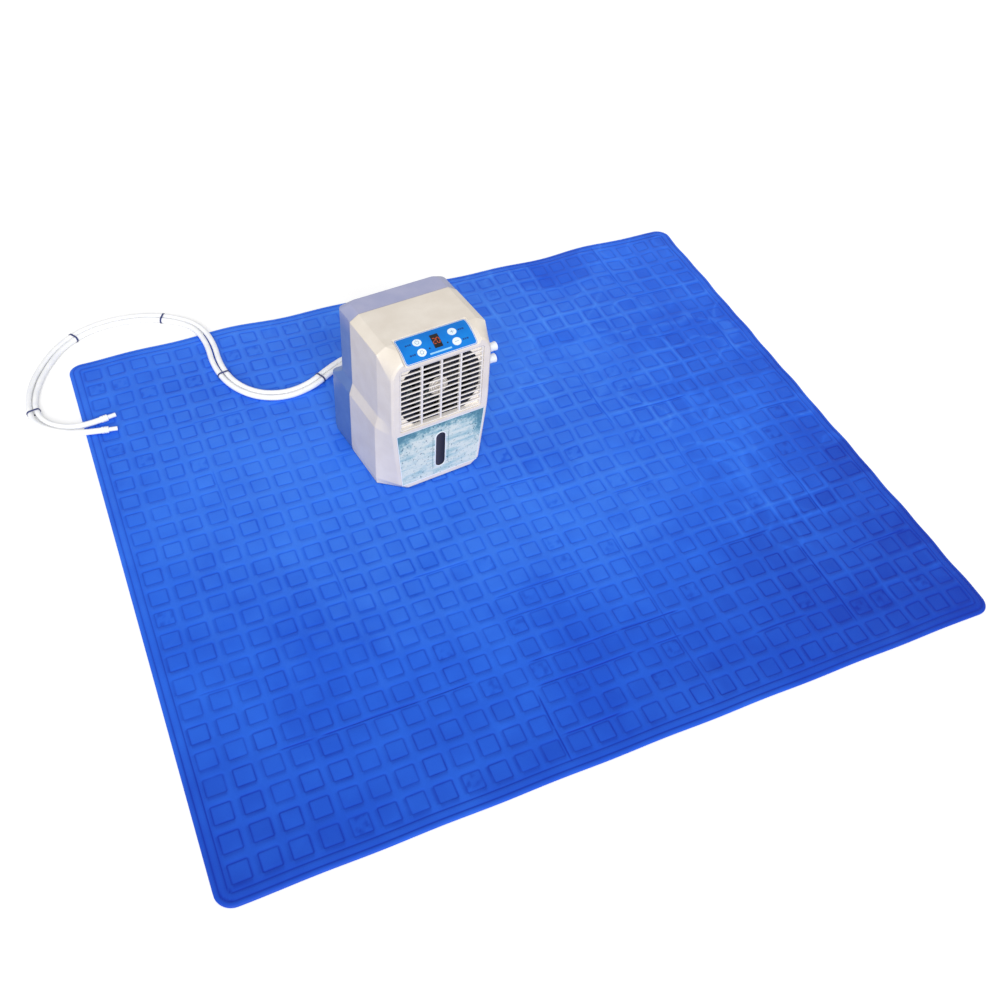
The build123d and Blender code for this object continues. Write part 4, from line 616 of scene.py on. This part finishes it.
def gridMarks(half, count, pitch, setup):  # lines where the mesh needs points: the border's and each square's
    marks = []
    for inset in setup["edgeMarks"]:
        marks += [half - inset, inset - half]
    inside = half - setup["marksInside"]
    for number in range(count):
        centre = (number - (count - 1) / 2) * pitch
        offsets = [side * offset for offset in (*setup["marks"], pitch / 2) for side in (-1, 1)]
        marks += [centre + offset for offset in (*offsets, *setup["creaseMarks"]) if abs(centre + offset) < inside]
    marks = sorted(set(round(mark, 6) for mark in marks))
    kept = [marks[0]]
    for mark in marks[1:]:
        if mark - kept[-1] > setup["marksApart"]:
            kept.append(mark)
    return np.array(kept)


def roundOff(x, y, halfX, halfY, corner):
    # the grid's square corners are drawn in to round ones
    u = np.clip((np.abs(x) - (halfX - corner)) / corner, 0, 1)
    v = np.clip((np.abs(y) - (halfY - corner)) / corner, 0, 1)
    newX = np.where((u > 0) & (v > 0), halfX - corner + corner * u * np.sqrt(1 - v * v / 2), np.abs(x))
    newY = np.where((u > 0) & (v > 0), halfY - corner + corner * v * np.sqrt(1 - u * u / 2), np.abs(y))
    return np.sign(x) * newX, np.sign(y) * newY


def roundedDistance(x, y, halfX, halfY, corner):  # below 0 inside
    outX, outY = np.abs(x) - (halfX - corner), np.abs(y) - (halfY - corner)
    return np.hypot(np.maximum(outX, 0), np.maximum(outY, 0)) + np.minimum(np.maximum(outX, outY), 0) - corner


def slowNoise(x, y, name, setup):  # about -1 to 1
    scale, start = setup["noises"][name]
    return np.array([noise.noise((a * scale + start, b * scale, start)) for a, b in zip(x.ravel(), y.ravel())]
                    ).reshape(x.shape)


def bell(away, width):
    return np.exp(-(away / width) ** 2)


def gate(values, name, setup):
    base, gain = setup["gates"][name]
    return np.clip(base + gain * values, 0, 1)


def wildness(x, y):  # the half away from the unit is more crumpled
    return np.clip((x + 0.7 * y + 0.15) / 0.5, 0.15, 1)


def creaseLines(across, along, setup):
    # short sharp creases in the channels beside the squares; the sheet steps up a little past each one
    pitchX, pitchY = setup["pitch"]
    crease, step = np.zeros_like(across), np.zeros_like(across)
    lines = [(along, across, pitchY, *line) for line in setup["rowCreases"]]
    lines += [(across, along, pitchX, *line) for line in setup["columnCreases"]]
    for over, run, pitch, number, start, end, strength in lines:
        reach = strength * np.clip(np.minimum(run - start, end - run) / setup["creaseEnds"] + 0.5, 0, 1)
        away = (over - number) * pitch - setup["creaseAway"]
        crease = np.maximum(crease, reach * bell(away, setup["creaseWidth"]))
        step += reach * bell(away, setup["stepWidth"]) * np.sign(away)
    return crease, step


def foldBands(across, along, setup, ripple):  # broad shallow valleys along the lines where it was folded
    pitchX, pitchY = setup["pitch"]
    bands = np.zeros_like(across)
    for places, counted, pitch in ((setup["foldColumns"], across, pitchX), (setup["foldRows"], along, pitchY)):
        for place, strength in places:
            bands = np.maximum(bands, strength * bell((counted - place) * pitch, setup["foldWidth"]))
    return bands * np.clip(0.6 + 0.9 * ripple, 0, 1.2)


def padSurface(x, y, setup):  # heights, and tones from 0, dark, to 1, light
    def grain(name):
        return slowNoise(x, y, name, setup)

    def each(values):  # one value for each square, at each point
        return values[column, row]

    def mixOf(shares):
        return sum(share * parts[name] for name, share in shares.items())

    inset = -roundedDistance(x, y, setup["width"] / 2, setup["depth"] / 2, setup["corner"])
    calmFrom, calmOver = setup["calm"]
    calm = np.clip((inset - calmFrom) / calmOver, 0, 1)
    wild = wildness(x, y)
    strayX = x + setup["stray"] * calm * (0.6 + wild) * grain("strayX")
    strayY = y + setup["stray"] * calm * (0.6 + wild) * grain("strayY")
    pitchX, pitchY = setup["pitch"]
    across = strayX / pitchX + (setup["columns"] - 1) / 2  # counted in squares
    along = strayY / pitchY + (setup["rows"] - 1) / 2
    column = np.clip(np.round(across), 0, setup["columns"] - 1).astype(int)
    row = np.clip(np.round(along), 0, setup["rows"] - 1).astype(int)
    fromX, fromY = (across - column) * pitchX, (along - row) * pitchY
    half = setup["squareHalf"]
    square = roundedDistance(fromX, fromY, half, half, setup["squareCorner"])
    within = np.clip(-square / 0.002, 0, 1)

    rng = np.random.default_rng(setup["seed"])
    count = (setup["columns"], setup["rows"])
    strength = each(rng.uniform(*setup["weldStrength"], count)) * (0.95 + 0.4 * grain("weld")) * (1 - 0.3 * wild)
    crown = each(rng.uniform(*setup["crown"], count))
    tiltX, tiltY = each(rng.normal(0, setup["tilt"], count)), each(rng.normal(0, setup["tilt"], count))
    luck = rng.uniform(0, 1, count)
    ownTone = each(rng.normal(0, setup["ownTone"], count))
    sunk = each((luck < setup["sunkShare"]).astype(float))
    dented = each((luck > 1 - setup["dentedShare"]).astype(float))
    onFold = each((luck * 7919) % 1) > setup["flatShare"]
    turned = each(np.array([[noise.noise((number * 0.31, line * 0.37, 7.7)) for line in range(setup["rows"])]
                            for number in range(setup["columns"])]))

    channel = np.minimum((0.5 - np.abs(across - column)) * pitchX, (0.5 - np.abs(along - row)) * pitchY)
    crease, step = creaseLines(across, along, setup)
    bands = foldBands(across, along, setup, grain("band"))
    parts = {
        # weld and border: the weld lines, which the tone darkens both as their own darker line and as painted shade in
        # their shallow grooves
        "weld": bell(square, setup["weldWidth"]) * strength,
        "border": np.clip(sum(bell(inset - line, setup["weldWidth"]) for line in setup["borderWelds"]), 0, 1),
        # channel: raised between the squares, and a little lighter as a painted highlight
        "channel": np.clip(square / 0.006, 0, 1),
        # crease: real shallow grooves, which the tone darkens with painted shade
        "crease": crease,
        "step": step,
        "band": bands,
        "dent": dented * within * gate(grain("dent"), "dent", setup),  # small crumpled marks, which the tone darkens with painted shade
        # ridge and wrinkle: slightly raised lines, which the tone lightens as painted highlights
        "ridge": wild * bell(channel, setup["ridgeWidth"]) * gate(grain("ridge"), "ridge", setup) * calm,
        "wrinkle": wild * bell(grain("wrinkle"), setup["wrinkleWidth"]) * gate(grain("wrinkleGate"), "wrinkle", setup),
        "shadow": wild * np.clip(turned - 0.08, 0, 0.3) / 0.3,  # squares and channels that lie turned away
        # sunk squares and squares on a fold: the tone darkens them with painted shade
        "sunk": within * sunk,
        "folded": within * bands * onFold,
        "low": within * np.maximum(sunk, bands * onFold),
        "cloud": grain("cloud"),
        "mottle": grain("mottle"),
    }

    rim = np.clip(inset / setup["rimRound"], 0, 1)
    height = setup["rimThick"] + (setup["thick"] - setup["rimThick"]) * np.sqrt(1 - (1 - rim) ** 2)
    bulge = crown * (1 - (fromX / half) ** 2) * (1 - (fromY / half) ** 2) + tiltX * fromX + tiltY * fromY
    height += calm * (setup["waves"] * (grain("ripple") + 0.5 * grain("smallRipple")) + within * bulge
                      + mixOf(setup["heights"]))
    height -= parts["weld"] * setup["weldDepth"] + parts["border"] * setup["borderDepth"]

    # the tone: weld lines and the sheet's own patchy colour, painted shade and painted highlights from the marks, and
    # painted fall-off of light towards the right, the near side and the corners
    shade = 0.5 + mixOf(setup["tones"]) + within * ownTone + setup["lean"][0] * x + setup["lean"][1] * y
    shade += setup["fade"] * (0.45 - np.clip(np.hypot(x, y) / 1.06, 0, 1) ** 2)
    return np.clip(height, setup["lowest"], setup["highest"]), np.clip(shade, 0, 1)


def shiftCorners(x, y, setup):
    # the real sheet isn't a true rectangle: its corners lie off, its rows stray and its edges run in slow waves
    u, v = x / (setup["width"] / 2), y / (setup["depth"] / 2)
    moveX, moveY = np.zeros_like(x), np.zeros_like(y)
    for (sideX, sideY), (shiftX, shiftY) in setup["cornerShifts"].items():
        share = (1 + sideX * u) / 2 * (1 + sideY * v) / 2
        moveX += share * shiftX
        moveY += share * shiftY

    inner = wildness(x, y) * np.clip((0.97 - np.maximum(np.abs(u), np.abs(v))) / 0.12, 0, 1)
    slow, fine = setup["rowStray"]
    moveX += inner * (slow * slowNoise(x, y, "rowX", setup) + fine * slowNoise(x, y, "smallRowX", setup))
    moveY += inner * (slow * slowNoise(x, y, "rowY", setup) + fine * slowNoise(x, y, "smallRowY", setup))

    def wavesOf(edge, run):
        return sum(size * np.sin(run * pace + start) for size, pace, start in setup["edgeWaves"][edge])

    moveY += np.clip(v, 0, 1) ** 3 * wavesOf("far", u) + np.clip(-v, 0, 1) ** 6 * wavesOf("near", u)
    moveX += np.clip(u, 0, 1) ** 6 * wavesOf("right", v)
    return x + moveX, y + moveY


def makePad(setup):
    halfX, halfY = setup["width"] / 2, setup["depth"] / 2
    lineX = gridMarks(halfX, setup["columns"], setup["pitch"][0], setup)
    lineY = gridMarks(halfY, setup["rows"], setup["pitch"][1], setup)
    x, y = np.meshgrid(lineX, lineY, indexing="ij")
    x, y = roundOff(x, y, halfX, halfY, setup["corner"])
    height, shade = padSurface(x, y, setup)
    movedX, movedY = shiftCorners(x, y, setup)
    turn = math.radians(setup["turn"])
    rowX = movedX * math.cos(turn) - movedY * math.sin(turn)
    rowY = movedX * math.sin(turn) + movedY * math.cos(turn)
    for carried in setup["flatUnder"]:
        low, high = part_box(carried)
        outside = roundedDistance(rowX - (low.x + high.x) / 2, rowY - (low.y + high.y) / 2,
                                  (high.x - low.x) / 2, (high.y - low.y) / 2, setup["flatCorner"])
        pressed = np.clip(1 - outside / setup["flatFade"], 0, 1)
        height -= np.maximum(height - setup["thick"], 0) * pressed
    countX, countY = x.shape
    top = np.stack([rowX, rowY, height], -1).reshape(-1, 3)
    index = np.arange(countX * countY).reshape(countX, countY)
    quads = np.stack([index[:-1, :-1], index[1:, :-1], index[1:, 1:], index[:-1, 1:]], -1).reshape(-1, 4)
    loop = np.concatenate([index[:, 0], index[-1, 1:], index[-2::-1, -1], index[0, -2:0:-1]])
    rim = top[loop].copy()
    inwards = top.mean(0)[:2] - rim[:, :2]
    rim[:, :2] += inwards / np.linalg.norm(inwards, axis=1)[:, None] * setup["underCut"]
    rim[:, 2] = 0
    base, count = len(top), len(loop)
    faces = [tuple(quad) for quad in quads.tolist()]
    for step in range(count):
        after = (step + 1) % count
        faces.append((int(loop[after]), int(loop[step]), base + step, base + after))
    faces.append(tuple(base + step for step in range(count - 1, -1, -1)))
    pad = meshPiece("padSheets", np.vstack([top, rim]).tolist(), faces, "pad", finishes["pad"])
    tones = pad.data.attributes.new("tone", "FLOAT", "POINT")
    tones.data.foreach_set("value", np.concatenate([shade.ravel(), np.full(count, 0.5)]).astype(np.float32))
    pad.data.polygons[len(pad.data.polygons) - 1].use_smooth = False
    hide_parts("mat_pad")
    print("pad made:", len(pad.data.vertices), "points")


makePad(padSetup)


# prints on the control panel, laid on its curved face, and round the water level window

panelSetup = {
    "origin": (-0.112, 0.093, 0.352),
    "slope": math.atan2(24, 58),
    "drop": 0.08967,
    "labelRadius": 0.0954,
    "keyRadius": 0.0962,
    "lift": 0.00014,

    # in mm from here on
    "lineInset": (78.6, 28.8, 5),  # the white line: half width, half height and corner
    "lineWidth": 0.9,
    "bar": ((-24, -21.5), (24, -21.5), 3.2),
    "keys": ((-39, 9.4), (39, 9.4), (-39, -13.5), (39, -13.5)),
    "dashes": ((13.5, 3.4), (18.1, 2.6), (22.1, 4.2)),  # from the key's middle, and how long
    "dashWidth": 3.6,
    "digits": "20",
    "digitSize": (6.0, 12.0, 1.5),  # width, height and stroke
    "digitStep": 8.2,
    "digitFoot": (-7.1, -4.4),
}
windowSetup = {
    "centre": (-0.112, 0.0641, 0.089),
    "sunkRim": 0.0001,  # how deep the rim's foot lies in the film
    "straight": 36,  # half the length between its round ends, in mm as all below
    "radius": 11.1,
    "rimWidth": 2.3,
    "rimRise": 0.8,
    "marks": 22,
    "markPitch": 4,
    "markPlaces": (18.5, -18.5),
    "markWidth": 0.7,
    "markLengths": (2.6, 4.6),  # every fifth is long
    "scaleWidth": 0.5,
}
glyphSetup = {  # plain marks on the keys, in mm
    "stroke": 1.1,
    "reach": 4.2,
    "ring": (4, 1, 115, 425),  # radius, stroke, and from where to where in degrees
    "ringStem": (1.5, 5.6, 1),
    "wheel": (3.4, 1),
    "spokes": (4.2, 5.8, 0.9),
    "spokeTurn": 60,
}
patchLength = 2.5  # mm, short enough to follow the panel's arc
wholeRun = 200  # mm, longer than any stroke, so that a level one stays in one patch
segments = {  # which bars of a lit digit show: top, upper left, upper right, middle, lower left, lower right, foot
    "0": "1110111", "2": "1011101",
}


def onPanel(across, up, lift, radius):  # across and up in mm, along the label from its middle
    across, up = across / 1000, up / 1000
    rise = math.sqrt(radius ** 2 - up ** 2) - panelSetup["drop"] + lift
    cosine, sine = math.cos(panelSetup["slope"]), math.sin(panelSetup["slope"])
    x, y, z = panelSetup["origin"]
    return x + across, y + up * cosine - rise * sine, z + up * sine + rise * cosine


def onLabel(across, up, lift):
    return onPanel(across, up, lift, panelSetup["labelRadius"])


def onKey(across, up, lift):
    return onPanel(across, up, lift, panelSetup["keyRadius"])


def onFilm(across, up, lift):
    x, y, z = windowSetup["centre"]
    return x + across / 1000, y - lift, z + up / 1000


def strokeOf(start, end, width, longest=patchLength):
    (startX, startY), (endX, endY) = start, end
    length = math.hypot(endX - startX, endY - startY)
    sideX, sideY = -(endY - startY) / length * width / 2, (endX - startX) / length * width / 2
    count = max(1, math.ceil(length / longest))
    patches = []
    for step in range(count):
        first, last = step / count, (step + 1) / count
        ax, ay = startX + (endX - startX) * first, startY + (endY - startY) * first
        bx, by = startX + (endX - startX) * last, startY + (endY - startY) * last
        patches.append([(ax - sideX, ay - sideY), (bx - sideX, by - sideY), (bx + sideX, by + sideY),
                        (ax + sideX, ay + sideY)])
    return patches


def ringOf(centre, radius, width, start=0, end=360, count=20):
    patches = []
    for step in range(count):
        turns = [math.radians(start + (end - start) * (step + part) / count) for part in (0, 1)]
        inner, outer = radius - width / 2, radius + width / 2
        corners = [(inner, turns[0]), (outer, turns[0]), (outer, turns[1]), (inner, turns[1])]
        patches.append([(centre[0] + r * math.cos(turn), centre[1] + r * math.sin(turn)) for r, turn in corners])
    return patches


def roundedLine(halfX, halfY, corner, width):
    straightX, straightY = halfX - corner, halfY - corner
    patches = []
    for side in (1, -1):
        patches += strokeOf((-straightX, side * halfY), (straightX, side * halfY), width, wholeRun)
    for side in (1, -1):
        patches += strokeOf((side * halfX, -straightY), (side * halfX, straightY), width)
    for sideX, sideY, start in ((1, 1, 0), (-1, 1, 90), (-1, -1, 180), (1, -1, 270)):
        patches += ringOf((sideX * straightX, sideY * straightY), corner, width, start, start + 90, 8)
    return patches


def printPiece(name, patches, placeOf, body, finish):
    # each patch is a thin closed block, its top just above the surface
    verts, faces = [], []
    lift = panelSetup["lift"]
    for patch in patches:
        first = len(verts)
        verts += [placeOf(*corner, lift) for corner in patch] + [placeOf(*corner, -lift) for corner in patch]
        faces += [(first, first + 1, first + 2, first + 3), (first + 7, first + 6, first + 5, first + 4)]
        faces += [(first + (side + 1) % 4, first + side, first + 4 + side, first + 4 + (side + 1) % 4)
                  for side in range(4)]
    return meshPiece(name, verts, faces, body, finish, smooth=False)


def digitStrokes(digit, left, foot, size):
    width, height, stroke = size
    gap = stroke * 0.62
    right, middle, top = left + width, foot + height / 2, foot + height
    lines = [
        ((left + gap, top), (right - gap, top)),
        ((left, middle + gap), (left, top - gap)),
        ((right, middle + gap), (right, top - gap)),
        ((left + gap, middle), (right - gap, middle)),
        ((left, foot + gap), (left, middle - gap)),
        ((right, foot + gap), (right, middle - gap)),
        ((left + gap, foot), (right - gap, foot)),
    ]
    return [patch for lit, (start, end) in zip(segments[digit], lines) if lit == "1"
            for patch in strokeOf(start, end, stroke)]


def keyGlyph(number, centre, setup):  # a ring with a stem, a plus, a wheel and a minus
    x, y = centre
    reach, stroke = setup["reach"], setup["stroke"]
    if number == 1:
        low, high, width = setup["ringStem"]
        return ringOf(centre, *setup["ring"]) + strokeOf((x, y + low), (x, y + high), width)
    if number == 3:
        patches = ringOf(centre, *setup["wheel"])
        inner, outer, width = setup["spokes"]
        for turn in range(0, 360, setup["spokeTurn"]):
            cosine, sine = math.cos(math.radians(turn)), math.sin(math.radians(turn))
            patches += strokeOf((x + inner * cosine, y + inner * sine), (x + outer * cosine, y + outer * sine), width)
        return patches
    patches = strokeOf((x - reach, y), (x + reach, y), stroke)
    if number == 2:
        patches += strokeOf((x, y - reach), (x, y + reach), stroke)
    return patches


def makePrints(setup):
    printPiece("labelLine", roundedLine(*setup["lineInset"], setup["lineWidth"]), onLabel, "unit",
               finishes["whiteInk"])
    printPiece("labelBar", strokeOf(*setup["bar"], wholeRun), onLabel, "unit", finishes["skyInk"])
    dashes = []
    for keyX, keyY in setup["keys"]:
        side = math.copysign(1, keyX)
        for start, length in setup["dashes"]:
            dashes += strokeOf((keyX + side * start, keyY), (keyX + side * (start + length), keyY),
                               setup["dashWidth"], wholeRun)
    printPiece("labelDashes", dashes, onLabel, "unit", finishes["navyInk"])
    for number, centre in enumerate(setup["keys"], 1):
        printPiece(f"keyGlyph{number}", keyGlyph(number, centre, glyphSetup), onKey, f"key_{number}",
                   finishes["greyInk"])
    left, foot = setup["digitFoot"]
    lit = []
    for place, digit in enumerate(setup["digits"]):
        lit += digitStrokes(digit, left + place * setup["digitStep"], foot, setup["digitSize"])
    printPiece("displayDigits", lit, onLabel, "unit", finishes["digits"])


def makeWindowTrim(setup):
    # a raised rim round the window: a half round section swept along its outline
    sectionSteps, endSteps = 6, 16
    foot = -setup["sunkRim"]
    section = [(0, foot)]
    for step in range(sectionSteps + 1):
        turn = math.pi * (1 - step / sectionSteps)
        section.append((setup["rimWidth"] / 2 * (1 + math.cos(turn)), setup["rimRise"] / 1000 * math.sin(turn)))
    section.append((setup["rimWidth"], foot))
    outline = []
    for end in (1, -1):
        for step in range(endSteps + 1):
            turn = math.radians(180 * step / endSteps + (0 if end > 0 else 180))
            outline.append((math.cos(turn), math.sin(turn), end * setup["straight"]))
    verts, faces = [], []
    for cosine, sine, shift in outline:
        for out, lift in section:
            radius = setup["radius"] + out
            verts.append(onFilm(radius * cosine, shift + radius * sine, lift))
    rows, count = len(outline), len(section)
    for row in range(rows):
        after = (row + 1) % rows
        for step in range(count):
            beside = (step + 1) % count
            faces.append((row * count + step, row * count + beside, after * count + beside, after * count + step))
    meshPiece("windowRim", verts, faces, "unit", finishes["whiteInk"])

    ticks = []
    run = (setup["marks"] - 1) / 2 * setup["markPitch"]
    for place in setup["markPlaces"]:
        for number in range(setup["marks"]):
            up = number * setup["markPitch"] - run
            length = setup["markLengths"][0 if number % 5 else 1]
            ticks += strokeOf((place - length / 2, up), (place + length / 2, up), setup["markWidth"], wholeRun)
        ticks += strokeOf((place, -run), (place, run), setup["scaleWidth"], wholeRun)
    printPiece("levelMarks", ticks, onFilm, "unit", finishes["tealInk"])


makePrints(panelSetup)
makeWindowTrim(windowSetup)
print("prints laid")


# floor, lamps and world

lightSetup = {
    "worldLight": 0.58,
    "sunPower": 2.5,
    "sunColour": (1, 0.988, 0.975),
    "sunTurn": (58, 0, -24),  # from the front left, low enough to reach the unit's front
    "sunSize": 40,
    "floorTone": 0.82,
    "floorGlow": 0.3,
    "floorReach": 14,
    "floorDrop": 0.0002,
}


def makeStage(setup):
    scene = bpy.context.scene
    scene.view_settings.view_transform = "Standard"
    world = bpy.data.worlds.new("studio")
    world.use_nodes = True
    scene.world = world
    tree = world.node_tree
    light = tree.nodes["Background"]
    light.inputs["Strength"].default_value = setup["worldLight"]
    white = tree.nodes.new("ShaderNodeBackground")
    for node in (light, white):
        node.inputs["Color"].default_value = (1, 1, 1, 1)
    rays = tree.nodes.new("ShaderNodeLightPath").outputs
    glassy = mathOf(tree, "MAXIMUM", rays["Is Glossy Ray"], rays["Is Transmission Ray"])
    seen = mathOf(tree, "MAXIMUM", rays["Is Camera Ray"], glassy)
    mixShaders(tree, seen, light.outputs[0], white.outputs[0], tree.nodes["World Output"].inputs["Surface"])

    mesh = bpy.data.meshes.new("floor")
    reach, level = setup["floorReach"], -setup["floorDrop"]
    mesh.from_pydata([(x * reach, y * reach, level) for x, y in ((-1, -1), (1, -1), (1, 1), (-1, 1))], [],
                     [(0, 1, 2, 3)])
    floor = bpy.data.objects.new("floor", mesh)
    scene.collection.objects.link(floor)
    material, tree, shader = newMaterial("floorPaint", 0.9, 0)
    shader.inputs["Base Color"].default_value = (setup["floorTone"],) * 3 + (1,)
    glow = tree.nodes.new("ShaderNodeEmission")
    glow.inputs["Strength"].default_value = setup["floorGlow"]
    added = tree.nodes.new("ShaderNodeAddShader")
    tree.links.new(shader.outputs[0], added.inputs[0])
    tree.links.new(glow.outputs[0], added.inputs[1])
    cameraRay = tree.nodes.new("ShaderNodeLightPath").outputs["Is Camera Ray"]
    mixShaders(tree, cameraRay, shader.outputs[0], added.outputs[0], tree.nodes["Material Output"].inputs["Surface"])
    mesh.materials.append(material)

    sun = bpy.data.lights.new("sun", "SUN")
    sun.energy = setup["sunPower"]
    sun.color = setup["sunColour"]
    sun.angle = math.radians(setup["sunSize"])
    lamp = bpy.data.objects.new("sun", sun)
    lamp.rotation_euler = [math.radians(turn) for turn in setup["sunTurn"]]
    scene.collection.objects.link(lamp)


makeStage(lightSetup)
print("floor and lamps set")
